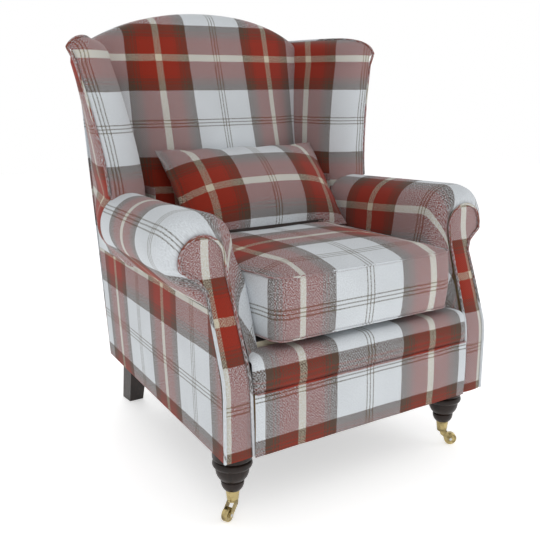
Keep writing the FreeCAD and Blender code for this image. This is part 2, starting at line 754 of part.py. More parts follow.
TOP_HALF = "Dims.side_rear + Dims.lean_rear * (Dims.top_rail_low - Dims.base_z) - Dims.post_wide - 8"
TOP_SIDE = f"Dims.crest_z - 24 - Dims.crest_drop * (({TOP_HALF}) / Dims.crest_half)^2"
TOP_RISE = f"Dims.crest_drop * (({TOP_HALF}) / Dims.crest_half)^2"
TOP_ARC = f"(({TOP_HALF})^2 + ({TOP_RISE})^2) / (2 * ({TOP_RISE}))"
node(block(
    "back_top_rail",
    [(f"-({TOP_HALF})", "Dims.top_rail_low"), (TOP_HALF, "Dims.top_rail_low"), (TOP_HALF, TOP_SIDE),
     (f"-({TOP_HALF})", TOP_SIDE)],
    "XZ_Plane", "-Dims.rear_y + Dims.top_rail_rear", "Dims.top_rail_thick", {2: (TOP_ARC, 1)}),
    "back_top_rail")


# Arm stumps: shaped boards behind the facings, scrolled at the top and swept back in side view.

stump = facing_prism(-4, d.base_z, -430, -200).common(
    facing_layer(d.cloth + d.gap, d.cloth + d.gap + d.stump_thick, d.base_z - 5))
both_sides(soft(stump, "arm_stump"), "arm_stumps")


# Arm rails: from the stump's back to the back post, under the roll.

ARM_Y0 = -d.facing_neck + d.cloth + d.gap + d.stump_thick + 1
ARM_Y1 = d.rear_y - d.post_deep - 2


def arm_rail_section(y):
    """Upright rectangle of the arm rail at one end."""
    outer = side_x(y, d.arm_seam_z) - 2.2
    low = d.arm_seam_z + 2
    corners = [(outer - d.arm_rail_wide, low), (outer, low), (outer, low + d.arm_rail_tall),
               (outer - d.arm_rail_wide, low + d.arm_rail_tall)]
    return section(corners, [0] * 4, lambda p: Vector(p.x, y, p.y))


both_sides(soft(loft([arm_rail_section(ARM_Y0), arm_rail_section(ARM_Y1)]), "arm_rail"), "arm_rails")


# Wing boards: flat inside each wing along its outer face, standing on the arm rail.

BOARD_LOW = d.arm_seam_z + d.arm_rail_tall + 6
BOARD_TOP = wing_shoulder - 4
WING_MIDDLE = [wing_level(share) for share in (0.211, 0.466, 0.765)]


def board_plan(z, grow):
    """Plan of a wing board at one height, grown by an amount on every side."""
    share = min(max((z - BOARD_LOW) / (d.wing_low - BOARD_LOW), 0), 1)
    start = max(wing_piping_y(z), d.roll_rear_y - 8) + 12
    high_x = wing_corners(max(z, d.wing_low))[3][0]
    outer_front = side_x(start, z) * (1 - share) + high_x * share - d.cloth - d.gap - 0.5
    rear_y = d.rear_y - d.post_deep - 4
    wing_rear = wing_corners(max(z, d.wing_low))[5][0]
    outer_rear = side_x(rear_y, z) * (1 - share) + wing_rear * share - d.cloth - d.gap - 1.5
    thick = d.wing_board_thick
    return [(outer_front - thick - grow, start - grow), (outer_front + grow, start - grow),
            (outer_rear + grow, rear_y + grow), (outer_rear - thick - grow, rear_y + grow)]


def board_loft(grow):
    """Wing board solid, grown by an amount."""
    levels = [BOARD_LOW - grow, d.wing_low] + WING_MIDDLE + [BOARD_TOP + grow]
    return loft([section(board_plan(z, grow), [0] * 4, lambda p, z=z: Vector(p.x, p.y, z)) for z in levels])


both_sides(soft(board_loft(0), "wing_board"), "wing_boards")


# Seat springs: five serpentine wires from the front rail to the cross rail, held by clips.

SPRING_COUNT = 5
RAIL_INNER = -front_y + 4 + d.rail_thick
SPRING_START = RAIL_INNER - d.rail_thick / 2
SPRING_END = d.cross_rail_y + d.rail_thick / 2


def spring_wire(x):
    """One serpentine spring: cross runs joined by half-circle bends, with a straight run at each end."""
    half = d.spring_wide / 2 - d.spring_loop / 2
    turns = int((SPRING_END - SPRING_START - 30) / d.spring_loop)
    turns -= turns % 2
    margin = (SPRING_END - SPRING_START - turns * d.spring_loop) / 2
    y = SPRING_START + margin
    bend = d.spring_loop / 2
    edges = []
    z = spring_z

    def run(a, b):
        edges.append(Part.LineSegment(Vector(*a, z), Vector(*b, z)).toShape())

    def curve(a, m, b):
        edges.append(Part.Arc(Vector(*a, z), Vector(*m, z), Vector(*b, z)).toShape())

    run((x, SPRING_START + 3), (x, y - bend))
    side = 1
    quarter = bend * (1 - math.sqrt(0.5))
    curve((x, y - bend), (x + quarter, y - quarter), (x + bend, y))
    for index in range(turns):
        tip = x + side * half
        last = index == turns - 1
        run((x + bend, y) if index == 0 else (x - side * half, y), (tip, y))
        if last:
            break
        curve((tip, y), (tip + side * bend, y + bend), (tip, y + d.spring_loop))
        y += d.spring_loop
        side = -side
    curve((tip, y), (tip + side * bend * math.sqrt(0.5), y + quarter), (tip + side * bend, y + bend))
    run((tip + side * bend, y + bend), (tip + side * bend, SPRING_END - 3))
    return Part.Wire(edges)


def spring(x):
    """One spring's wire swept with its round section."""
    path = spring_wire(x)
    start = Vector(x, SPRING_START + 3, spring_z)
    profile = Part.Wire(Part.makeCircle(d.spring_wire / 2, start, Vector(0, 1, 0)))
    return path.makePipeShell([profile], True, False)


SPRING_XS = [(index - (SPRING_COUNT - 1) / 2) * d.spring_pitch for index in range(SPRING_COUNT)]
node(soft(Part.makeCompound([spring(x) for x in SPRING_XS]), "spring_set"), "seat_springs")


def clip(x, y):
    """A bent steel clip: a foot on the rail and a bore round the wire's end."""
    foot = Part.makeBox(16, 16, d.spring_rise, Vector(x - 8, y - 8, rail_top_z))
    cap = Part.makeBox(10, 14, d.spring_wire / 2 + 1.6, Vector(x - 5, y - 7, spring_z))
    wire_room = Part.makeCylinder(d.spring_wire / 2 + 0.1, 20, Vector(x, y - 10, spring_z), Vector(0, 1, 0))
    return foot.fuse(cap).cut(wire_room)


END_SHIFT = -(d.spring_wide / 2 - d.spring_loop / 2) - d.spring_loop / 2
clips = [clip(x, SPRING_START + 3 + 5) for x in SPRING_XS]
clips += [clip(x + END_SHIFT, SPRING_END - 3 - 5) for x in SPRING_XS]
node(soft(Part.makeCompound(clips), "clip_set"), "spring_clips")


# Back webbing: upright straps from the cross rail to the top rail, along the back's rake.

WEB_LOW = "Dims.base_z + Dims.rail_tall + 0.2"
WEB_TOP = "Dims.top_rail_low + 45"
WEB_Y_LOW = "Dims.cross_rail_y + 18"
WEB_Y_TOP = "Dims.rear_y - Dims.top_rail_rear - Dims.top_rail_thick - 0.2"
webbing = new_body("strap")
FIRST_STRAP = "-1.5 * Dims.strap_pitch - Dims.strap_wide / 2"
strap_sketch = new_sketch(webbing, "strap_outline", "YZ_Plane", FIRST_STRAP)
draw(strap_sketch, [
    (WEB_Y_LOW, WEB_LOW), (f"{WEB_Y_LOW} + Dims.strap_thick", WEB_LOW),
    (WEB_Y_TOP, WEB_TOP), (f"{WEB_Y_TOP} - Dims.strap_thick", WEB_TOP)])
pad(webbing, strap_sketch, "strap_pad", "Dims.strap_wide")
straps = []
for index in range(4):
    strap = doc.addObject("Part::Feature", f"strap_copy_{index}")
    straps.append(strap)
doc.recompute()
for index, strap in enumerate(straps):
    strap.Shape = webbing.Shape.copy()
    strap.Placement = FreeCAD.Placement(Vector(index * d.strap_pitch, 0, 0), FreeCAD.Rotation())
web = doc.addObject("Part::Compound", "webbing_set")
web.Links = straps
node(web, "back_webbing")


# Seat deck: firm padding over the springs with its cloth, and the padded lip in front of it.

def deck_half(y_text):
    """Half-width of the deck: between the inside arms, with a clearance."""
    narrowing = "(Dims.arm_inner_front - Dims.arm_inner_rear) / (Dims.cross_rail_y - 30 + Dims.facing_foot)"
    return f"Dims.arm_inner_front - {narrowing} * ({y_text} + Dims.facing_foot) - 1"


DECK_FRONT = f"-{FRONT_Y} + Dims.lip_deep + 8"
DECK_REAR = f"Dims.back_y + Dims.back_rake * ({RAIL_TOP} - Dims.back_z) - 2"
DECK_PLAN = [(f"-({deck_half(DECK_FRONT)})", DECK_FRONT), (deck_half(DECK_FRONT), DECK_FRONT),
             (deck_half(DECK_REAR), DECK_REAR), (f"-({deck_half(DECK_REAR)})", DECK_REAR)]
node(block("seat_deck_pad", DECK_PLAN, "XY_Plane", f"{SPRING_Z} + 6", f"Dims.deck_z - {SPRING_Z} - 6"),
     "seat_deck_pad")
node(block("deck_cloth", DECK_PLAN, "XY_Plane", "Dims.deck_z", "Dims.deck_cloth"), "deck_cloth")


def lip_corners():
    """Side view of the padded lip, as it stands on the front rail."""
    front = -front_y + 2
    low = rail_top_z + 0.5
    rear = -front_y + d.lip_deep
    return [(front, low), (front - 3, low + 28), (front + 6, d.lip_top), (rear, d.lip_top), (rear, low + 13),
            (front + 11, low + 13), (front + 11, low)]


LIP_ROUNDS = [0, 30, 26, 0, 0, 0, 0]


def lip_bar(amount, half):
    """The lip's section run across the chair."""
    corners = inset(lip_corners(), amount) if amount else lip_corners()
    radii = inset_radii(lip_corners(), LIP_ROUNDS, amount)
    return loft([section(corners, radii, lambda p, x=x: Vector(x, p.x, p.y)) for x in (-half, half)])


LIP_HALF = d.arm_inner_front - 5
node(soft(lip_bar(d.cloth + d.gap, LIP_HALF), "lip_form"), "seat_lip_roll")
lip_path, lip_rounds = skin_section(lip_corners(), LIP_ROUNDS, 0, 3, d.cloth)
lip_skin = loft([
    section(lip_path, lip_rounds, lambda p, x=x: Vector(x, p.x, p.y)) for x in (-LIP_HALF, LIP_HALF)])
node(soft(lip_skin, "lip_cloth"), "seat_lip_cover")

node(block(
    "front_border_cover",
    [("-Dims.arm_inner_front + 2", "Dims.base_z - 4"), ("Dims.arm_inner_front - 2", "Dims.base_z - 4"),
     ("Dims.arm_inner_front - 2", RAIL_TOP), ("-Dims.arm_inner_front + 2", RAIL_TOP)],
    "XZ_Plane", f"{FRONT_Y} - 3.7", "3.7"), "front_border_cover")


# Inside back: crowned padding that rolls over the top rail, under its cloth.

BACK_STATIONS = [-1, -0.93, -0.78, -0.55, -0.28, 0, 0.28, 0.55, 0.78, 0.93, 1]


def strap_y(z):
    """Front face of the back's straps at one height."""
    low_y, low_z = number_of(WEB_Y_LOW), number_of(WEB_LOW)
    top_y, top_z = number_of(WEB_Y_TOP) - d.strap_thick, number_of(WEB_TOP)
    return low_y + (top_y - low_y) * (z - low_z) / (top_z - low_z)


def back_corners(share):
    """Side view of the inside back at a share of its half-width, with the hollow over the top rail."""
    top = crest(share * crease_x(d.crest_z - d.crest_drop))
    rear = d.rear_y - 2
    low = back_low
    bow = abs(share) ** 2.6
    front_low = back_face(low) + (crease_line(low) - back_face(low)) * bow
    front_top = back_face(top) + (crease_line(top) - back_face(top)) * bow
    corners = [(front_low, low), (front_top, top), (rear, top)]
    room = d.cloth
    rear_low = max(strap_y(low) + room, front_low + 12)
    rail_rear = d.rear_y - d.top_rail_rear - 1
    rail_top = top - 21
    strap_top = number_of(WEB_TOP)
    rail_front = strap_y(strap_top) + room
    return corners + [(rear, top - 50), (rail_rear, top - 50), (rail_rear, rail_top), (rail_front, rail_top),
                      (rail_front, strap_top), (rear_low, low)]


def back_place(share, squeeze):
    """Map a side-view point on to the leaning plane at a share of the half-width."""
    def place(p):
        return Vector(share * (crease_x(p.y) - squeeze), p.x, p.y)
    return place


def back_radii(share, count):
    """Rounding of the back's top edge, smaller towards the wings."""
    return [0, d.back_top_round * (1 - 0.35 * abs(share)), 26 * (1 - 0.3 * abs(share))] + [0] * (count - 3)


pad_sections = []
cloth_sections = []
for share in BACK_STATIONS:
    outline = back_corners(share)
    rounds = back_radii(share, len(outline))
    step = d.cloth + d.gap
    smaller = inset_radii(outline, rounds, step)
    pad_sections.append(section(inset(outline, step), smaller, back_place(share, 1.0)))
    path, path_rounds = skin_section(outline, rounds, 0, 3, d.cloth)
    cloth_sections.append(section(path, path_rounds, back_place(share, 0)))
node(soft(loft(pad_sections), "back_form"), "back_pad")
node(soft(loft(cloth_sections), "back_cloth"), "inside_back_cover")


# Outside back: a flat panel from the base to the arched top.

BACK_TOP_X = "Dims.crest_half"
SHOULDER_Z = "Dims.crest_z - Dims.crest_drop - 4"
BACK_EDGE_LOW = "Dims.side_rear - 1"
BACK_EDGE_TOP = "Dims.side_rear + Dims.lean_rear * (Dims.wing_top - 30 - Dims.base_z) - 1"
BACK_RISE = "(Dims.crest_drop - 12)"
BACK_ARC = f"(Dims.crest_half^2 + {BACK_RISE}^2) / (2 * {BACK_RISE})"
node(block(
    "outside_back_cover",
    [(f"-({BACK_EDGE_LOW})", "Dims.base_z - 4"), (BACK_EDGE_LOW, "Dims.base_z - 4"),
     (BACK_EDGE_TOP, "Dims.wing_top - 30"), (BACK_TOP_X, SHOULDER_Z), (f"-{BACK_TOP_X}", SHOULDER_Z),
     (f"-({BACK_EDGE_TOP})", "Dims.wing_top - 30")],
    "XZ_Plane", "-Dims.rear_y - Dims.cloth", "Dims.cloth", {3: (BACK_ARC, 1)}), "outside_back_cover")


# Wings: cloth from the back's crease round the front edge to the piping, closed over the top, with padding.

WING_LEVELS = [d.wing_low + 0.3] + WING_MIDDLE + [wing_level(0.891), wing_shoulder]
WING_CAP = [
    (wing_shoulder, (0, 0, 0, 0)), (dome_level(0.745), (0.5, 5, 0.5, 1)), (dome_level(0.527), (2, 15, 3, 4)),
    (dome_level(0.345), (5, 28, 8, 9)), (dome_level(0.2), (9, 39, 16, 17)),
    (dome_level(0.091), (13, 46, 25, 29)), (d.wing_top, (19, 52, 38, 50)),
]


def flat_place(z):
    """Map a plan point to a height."""
    return lambda p: Vector(p.x, p.y, z)


def wing_section(z, amount, back_end=None, dome=(0, 0, 0, 0)):
    """Plan section of a wing, inset by an amount."""
    corners = wing_corners(z, back_end, dome)
    rounds = inset_radii(corners, wing_rounds(corners), amount)
    return section(inset(corners, amount) if amount else corners, rounds, flat_place(z))


CAP_REAR = d.rear_y - 0.4


def wing_cap(step, drop):
    """Domed top of a wing, inset by a step and lowered by a drop; it reaches back over the post."""
    return loft([
        wing_section(z - (0 if z == wing_shoulder else drop), step, CAP_REAR, dome) for z, dome in WING_CAP])


skin_wires = []
for level in WING_LEVELS:
    plan = wing_corners(level)
    path, path_rounds = skin_section(plan, wing_rounds(plan), 0, 3, d.cloth)
    skin_wires.append(section(path, path_rounds, flat_place(level)))
wing_skin = loft(skin_wires)
soft_pair(wing_skin.fuse(wing_cap(0, 0).cut(wing_cap(d.cloth, d.cloth))), "inside_wing_cover")

step = d.cloth + 2.4 * d.gap
wing_fill = loft([wing_section(z + (0.7 if z < d.wing_low + 1 else 0), step) for z in WING_LEVELS])
soft_pair(wing_fill.fuse(wing_cap(step, step)).cut(board_loft(0.3)), "wing_pad")


def roll_end_x(z):
    """Half-width of the arm roll's rear end at one height, down to the seam on the outside arm."""
    low = 1.3 * d.roll_rear_r * 0.5
    seam = side_x(d.roll_rear_y, d.arm_seam_z)
    if z > d.roll_rear_z:
        bulge = math.sqrt(max(d.roll_rear_r ** 2 - (z - d.roll_rear_z) ** 2, 0))
        return max(d.roll_rear_x + bulge, d.wing_outer)
    if z > d.roll_rear_z - low:
        return d.roll_rear_x + math.sqrt(d.roll_rear_r ** 2 - (z - d.roll_rear_z) ** 2)
    knee = d.roll_rear_x + math.sqrt(d.roll_rear_r ** 2 - low ** 2)
    share = (z - d.arm_seam_z) / (d.roll_rear_z - low - d.arm_seam_z)
    return seam + (knee - seam) * share


def outside_wing_section(z):
    """Thin plan section from the piping over the swelling to the rear corner, outside the wing board."""
    edge = wing_corners(max(z, d.wing_low))
    start_y = max(edge[3][1] + 0.6, d.roll_rear_y + 0.4)
    swell_y = max(edge[4][1], start_y + d.swell_back)
    front_x, swell_x = edge[3][0], edge[4][0]
    if z < d.wing_low:
        front_x = roll_end_x(z)
        swell_x = side_x(swell_y, z) + (front_x - side_x(start_y, z)) * 0.97 + 0.2
    rear_x = side_x(d.rear_y, z)
    corners = [(front_x - d.cloth, start_y), (front_x, start_y), (swell_x, swell_y), (rear_x, d.rear_y - 0.3),
               (rear_x - d.cloth, d.rear_y - 0.3), (swell_x - d.cloth, swell_y)]
    return section(corners, [0] * 6, flat_place(z))


OUTSIDE_LEVELS = [d.arm_seam_z - 0.6] + [d.roll_rear_z + step for step in (-73, -46, -18, 12, 42)]
OUTSIDE_LEVELS += [d.wing_low] + WING_MIDDLE + [wing_level(0.891), wing_shoulder - 0.4]
soft_pair(loft([outside_wing_section(z) for z in OUTSIDE_LEVELS]), "outside_wing_cover")


# Arms: cloth from the seat over the roll to the seam, gathered at the front, and padding inside.

def arm_section(station, step, covered):
    """Upright section of an arm: the whole padding, or only its cloth."""
    y, middle_x, middle_z, radius = station
    corners = roll_corners(y, middle_x, middle_z, radius)
    rounds = roll_rounds(radius)
    if covered:
        path, path_rounds = skin_section(corners, rounds, 0, 4, step)
        return section(path, path_rounds, lambda p: Vector(p.x, y, p.y))
    return section(inset(corners, step), inset_radii(corners, rounds, step), lambda p: Vector(p.x, y, p.y))


REAR_LOW = d.base_z + d.rail_tall + 1
SHELF_X = min(board_plan(BOARD_LOW, 0)[3][0], board_plan(d.wing_low, 0)[3][0])


def arm_rear_block(step, low_y, high_y):
    """The arm's inner part beside the back, under the wing."""
    wires = []
    top = d.wing_low - 2 - step
    for y in (low_y - 3, high_y):
        inner = arm_inner(y) + step + 0.6
        low = REAR_LOW + step
        seam = side_x(y, d.arm_seam_z)
        board_in = SHELF_X - 0.6
        rail_in = min(seam - d.arm_rail_wide - 5.5, board_in - 0.3)
        rail_top = d.arm_seam_z + d.arm_rail_tall + 6.5
        slab_out = min(inner + d.slab - step, rail_in - 0.3)
        corners = [(inner, low), (inner, top), (board_in, top), (board_in, rail_top),
                   (rail_in, rail_top), (rail_in, d.arm_seam_z), (slab_out, d.arm_seam_z - 12),
                   (slab_out, low)]
        wires.append(section(corners, [0] * 8, lambda p, y=y: Vector(p.x, y, p.y)))
    return loft(wires)


ARM_END = d.rear_y - d.post_deep - 6 - 70
PAD_END = d.roll_rear_y - d.cloth - d.gap
arm_fill = loft([arm_section(s, d.cloth + d.gap, False) for s in roll_stations(PAD_END)])
stump_room = facing_prism(-3.6, d.base_z, -430, -200).common(
    facing_layer(0, d.cloth + 2 * d.gap + d.stump_thick, d.base_z - 5))
front_room = facing_prism(1, d.base_z, -430, -200).common(facing_layer(-5, d.cloth + d.gap, d.base_z - 5))
arm_fill = arm_fill.cut(stump_room).cut(front_room).fuse(arm_rear_block(d.cloth + d.gap, PAD_END, ARM_END))

arm_skin = loft([arm_section(s, d.cloth, True) for s in roll_stations(d.roll_rear_y)])
end_disc = loft([arm_section((y,) + roll_stations(d.roll_rear_y)[-1][1:], 0, False)
                 for y in (d.roll_rear_y - d.cloth, d.roll_rear_y)])
end_disc = end_disc.common(Part.makeBox(300, 10, 400, Vector(SHELF_X, d.roll_rear_y - 5, d.arm_low)))


def inner_panel():
    """The inside arm's cloth ahead of the roll, beside the swept stump."""
    wires = []
    back_edge = -d.facing_neck + 0.6
    for z in (d.arm_low, d.knee_z - 30, d.knee_z, d.knee_z + 30, d.knee_z + 110, d.knee_z + 180):
        front_edge = min(facing_y(z) + 0.2, back_edge - 1)
        corners = [(arm_inner(front_edge), front_edge), (arm_inner(front_edge) + d.cloth, front_edge),
                   (arm_inner(back_edge) + d.cloth, back_edge + 0.2), (arm_inner(back_edge), back_edge + 0.2)]
        wires.append(section(corners, [0] * 4, flat_place(z)))
    return loft(wires)


def rear_panel():
    """The inside arm's cloth beside the back, under the wing."""
    wires = []
    for y in (d.roll_rear_y - 0.2, ARM_END):
        inner = arm_inner(y)
        top = d.wing_low - 0.2
        shelf = SHELF_X - 4
        corners = [(inner, REAR_LOW), (inner, top), (shelf, top), (shelf, top - d.cloth),
                   (inner + d.cloth, top - d.cloth), (inner + d.cloth, REAR_LOW)]
        wires.append(section(corners, [0] * 6, lambda p, y=y: Vector(p.x, y, p.y)))
    return loft(wires)


arm_skin = arm_skin.fuse([end_disc, inner_panel(), rear_panel()])
soft_pair(arm_skin, "inside_arm_cover")
soft_pair(arm_fill.cut(arm_skin), "arm_pad")


def outside_arm_section(z):
    """Thin plan section of the outside arm at one height, from the facing to the rear corner."""
    start_y = facing_y(z) + 2.2
    corners = [(side_x(start_y, z) - d.cloth, start_y), (side_x(start_y, z), start_y),
               (side_x(d.rear_y, z), d.rear_y - 0.3), (side_x(d.rear_y, z) - d.cloth, d.rear_y - 0.3)]
    return section(corners, [0] * 4, flat_place(z))


OUTSIDE_ARM_LEVELS = [d.base_z - 4, d.knee_z - 30, d.knee_z, d.knee_z + 30, d.knee_z + 110, d.arm_seam_z - 1]
soft_pair(loft([outside_arm_section(z) for z in OUTSIDE_ARM_LEVELS]), "outside_arm_cover")

facing = facing_prism(0, d.base_z - 4, -430, -200).common(facing_layer(0, d.cloth, d.base_z - 4))
soft_pair(facing, "arm_facing")


# Piping: a thin round cord round each facing and along each wing's front edge and top.

def cord(points, radius, guide):
    """A round cord: a ruled loft of circles square to a path of points, which never follows the guide."""
    circles = []
    for index, spot in enumerate(points):
        before = points[max(index - 1, 0)]
        after = points[min(index + 1, len(points) - 1)]
        way = (after - before).normalize()
        side = way.cross(guide).normalize()
        circle = Part.Circle(spot, way, radius)
        circle.XAxis = side
        circles.append(Part.Wire(circle.toShape()))
    return Part.makeLoft(circles, True, True)


def facing_piping_path():
    """Points along the facing's edge, a little outside it."""
    inner_low, outer_low, outer_high, radius, neck = facing_outline(d.piping_r * 0.4)
    tip_in = scroll_point(radius, 180)
    steps = 9
    flat = []
    for index in range(steps):
        share = index / steps
        flat.append((inner_low + (tip_in[0] - inner_low) * share, d.base_z + (tip_in[1] - d.base_z) * share))
    flat += [scroll_point(radius, angle) for angle in range(180, SCROLL_END, -16)]
    hollow = ((neck[0] + outer_high) / 2 - 1, (neck[1] + d.neck_foot_z) / 2)
    flat += [scroll_point(radius, SCROLL_END), neck, hollow]
    for index in range(steps + 1):
        share = index / steps
        flat.append((outer_high + (outer_low - outer_high) * share,
                     d.neck_foot_z + (d.base_z - d.neck_foot_z) * share))
    return [Vector(x, facing_y(z) - d.piping_r - 0.6, z) for x, z in flat]


soft_pair(cord(facing_piping_path(), d.piping_r, Vector(0, 1, 0.3)), "facing_piping")


def wing_piping_path():
    """Points up the wing's front outer edge, over its domed top and back along it."""
    path = []
    for share in (0.041, 0.126, 0.211, 0.34, 0.466, 0.616, 0.765, 0.874, 0.966):
        z = wing_level(share)
        corner = wing_corners(z)[3]
        path.append(Vector(corner[0] + d.piping_r + 1.4, corner[1] - 2, z))
    for z, dome in WING_CAP[1:]:
        corner = wing_corners(z, CAP_REAR, dome)[3]
        path.append(Vector(corner[0] + d.piping_r * 1.1, corner[1] - 2, z + d.piping_r * 1.3))
    top = wing_corners(d.wing_top, CAP_REAR, WING_CAP[-1][1])
    rear = top[5]
    height = d.wing_top + d.piping_r + 0.3
    path.append(Vector((top[3][0] + rear[0]) / 2 - 4, (top[3][1] + rear[1]) / 2, height))
    path.append(Vector(rear[0] - 8, rear[1] - 14, height))
    return path


both_sides(soft(cord(wing_piping_path(), d.piping_r, Vector(0.8, 0.6, 0)), "wing_cord"), "wing_piping")


# Dust cover: black cloth under the frame, cut round the legs.

dust = block(
    "dust_cover",
    [(f"-({side_line('-Dims.facing_foot', '6')})", "-Dims.facing_foot + 6"),
     (side_line("-Dims.facing_foot", "6"), "-Dims.facing_foot + 6"),
     (side_line("Dims.rear_y", "6"), "Dims.rear_y - 3"),
     (f"-({side_line('Dims.rear_y', '6')})", "Dims.rear_y - 3")],
    "XY_Plane", "Dims.base_z - Dims.dust_thick - 0.1", "Dims.dust_thick")
cut = new_sketch(dust, "dust_cover_cut", "XY_Plane", "Dims.base_z")
for sign in ("", "-"):
    ring(cut, f"{sign}Dims.leg_x", f"-{LEG_Y}", "Dims.leg_top_r + 0.5")
    left = f"{sign}(Dims.rear_leg_top_x - Dims.rear_leg_top / 2 - 1)"
    right = f"{sign}(Dims.rear_leg_top_x + Dims.rear_leg_top / 2 + 1)"
    front = "Dims.rear_leg_top_y - Dims.rear_leg_top / 2 - 1"
    rear = "Dims.rear_leg_top_y + Dims.rear_leg_top / 2 + 1.4"
    draw(cut, [(left, front), (right, front), (right, rear), (left, rear)])
pocket_through(dust, cut, "dust_cover_holes")
node(dust, "dust_cover")


# Front legs: turned, from the top disc through two bowls to the spigot in the castor cup.

SPIGOT_TOP = "Dims.cup_top_r - Dims.cup_wall - 0.3"
SPIGOT_LOW = "Dims.cup_low_r - Dims.cup_wall - 0.3"
LEG_PROFILE = [
    ("0", "Dims.base_z"), ("Dims.leg_top_r - 2", "Dims.base_z"), ("Dims.leg_top_r", "Dims.base_z - 2"),
    ("Dims.leg_top_r", "Dims.leg_ring_z + 6"), ("Dims.leg_ring_r - 2", "Dims.leg_ring_z"),
    ("Dims.leg_ring_r - 2", "Dims.leg_bowl_z + 2"), ("Dims.leg_bowl_r", "Dims.leg_bowl_z"),
    ("Dims.leg_cup_r - 2", "Dims.leg_small_z + 1"), ("Dims.leg_cup_r", "Dims.leg_small_z - 1"),
    ("Dims.leg_ankle_r", "Dims.cup_top_z + 0.3"), (SPIGOT_TOP, "Dims.cup_top_z + 0.3"),
    (SPIGOT_LOW, "Dims.cup_low_z + Dims.cup_wall + 0.3"), ("0", "Dims.cup_low_z + Dims.cup_wall + 0.3"),
]
LEG_ARCS = {3: ("10", -1), 4: ("9", -1), 6: ("30", -1), 8: ("24", -1)}


def front_leg(side, sign):
    """One turned leg, bored for its hanger bolt."""
    body = turned(f"front_leg_{side}", LEG_PROFILE, LEG_ARCS)
    room = new_sketch(body, f"front_leg_{side}_bore", "XY_Plane", "Dims.base_z - Dims.bolt_down")
    ring(room, "0", "0", "Dims.bolt_r")
    hole = body.newObject("PartDesign::Pocket", f"front_leg_{side}_hole")
    hole.Profile = room
    hole.setExpression("Length", "Dims.bolt_down")
    hole.Reversed = True
    body.Placement = FreeCAD.Placement(Vector(sign * d.leg_x, -leg_y, 0), FreeCAD.Rotation())
    node(body, f"front_leg_{side}")


front_leg("left", -1)
front_leg("right", 1)


# Rear legs: square, tapered and raked back.

def rear_leg(side, sign):
    """One raked leg, bored for its hanger bolt."""
    s = "" if sign > 0 else "-"
    half = "Dims.rear_leg_top / 2"
    body = slanted(f"rear_leg_{side}", [
        ("0", f"{s}Dims.rear_leg_foot_x - Dims.rear_leg_foot_wide / 2",
         f"{s}Dims.rear_leg_foot_x + Dims.rear_leg_foot_wide / 2",
         "Dims.rear_leg_foot_y - Dims.rear_leg_foot_deep / 2",
         "Dims.rear_leg_foot_y + Dims.rear_leg_foot_deep / 2"),
        ("Dims.base_z", f"{s}Dims.rear_leg_top_x - {half}", f"{s}Dims.rear_leg_top_x + {half}",
         f"Dims.rear_leg_top_y - {half}", f"Dims.rear_leg_top_y + {half}"),
    ])
    room = new_sketch(body, f"rear_leg_{side}_bore", "XY_Plane", "Dims.base_z - Dims.bolt_down")
    ring(room, f"{s}Dims.rear_leg_top_x", "Dims.rear_leg_top_y + 12", "Dims.bolt_r")
    hole = body.newObject("PartDesign::Pocket", f"rear_leg_{side}_hole")
    hole.Profile = room
    hole.setExpression("Length", "Dims.bolt_down")
    hole.Reversed = True
    node(body, f"rear_leg_{side}")


rear_leg("left", -1)
rear_leg("right", 1)


# Castors: a cup with its riveted swivel pin on the leg, a horn that turns on it, an axle and a wheel.

def castor_place(sign, turn):
    """Placement of a castor's moving pieces: on the leg's axis, turned to the resting direction."""
    return FreeCAD.Placement(Vector(sign * d.leg_x, -leg_y, 0), FreeCAD.Rotation(Vector(0, 0, 1), turn))


HORN_TOP = "Dims.cup_low_z - 0.4"
HORN_LOW = "Dims.cup_low_z - 0.4 - Dims.horn_plate"
RIVET_TOP = f"{HORN_LOW} - 0.3"
CUP_PROFILE = [
    ("0", f"{RIVET_TOP} - 2"), ("Dims.swivel_r + 1.4", f"{RIVET_TOP} - 1.6"), ("Dims.swivel_r + 2", RIVET_TOP),
    ("Dims.swivel_r", RIVET_TOP), ("Dims.swivel_r", "Dims.cup_low_z"), ("Dims.cup_low_r - 0.8", "Dims.cup_low_z"),
    ("Dims.cup_low_r", "Dims.cup_low_z + 0.8"), ("Dims.cup_top_r", "Dims.cup_top_z"),
    ("Dims.cup_top_r - Dims.cup_wall", "Dims.cup_top_z"),
    ("Dims.cup_low_r - Dims.cup_wall", "Dims.cup_low_z + Dims.cup_wall"), ("0", "Dims.cup_low_z + Dims.cup_wall"),
]
CHEEK_NEAR = "Dims.wheel_wide / 2 + 0.5"


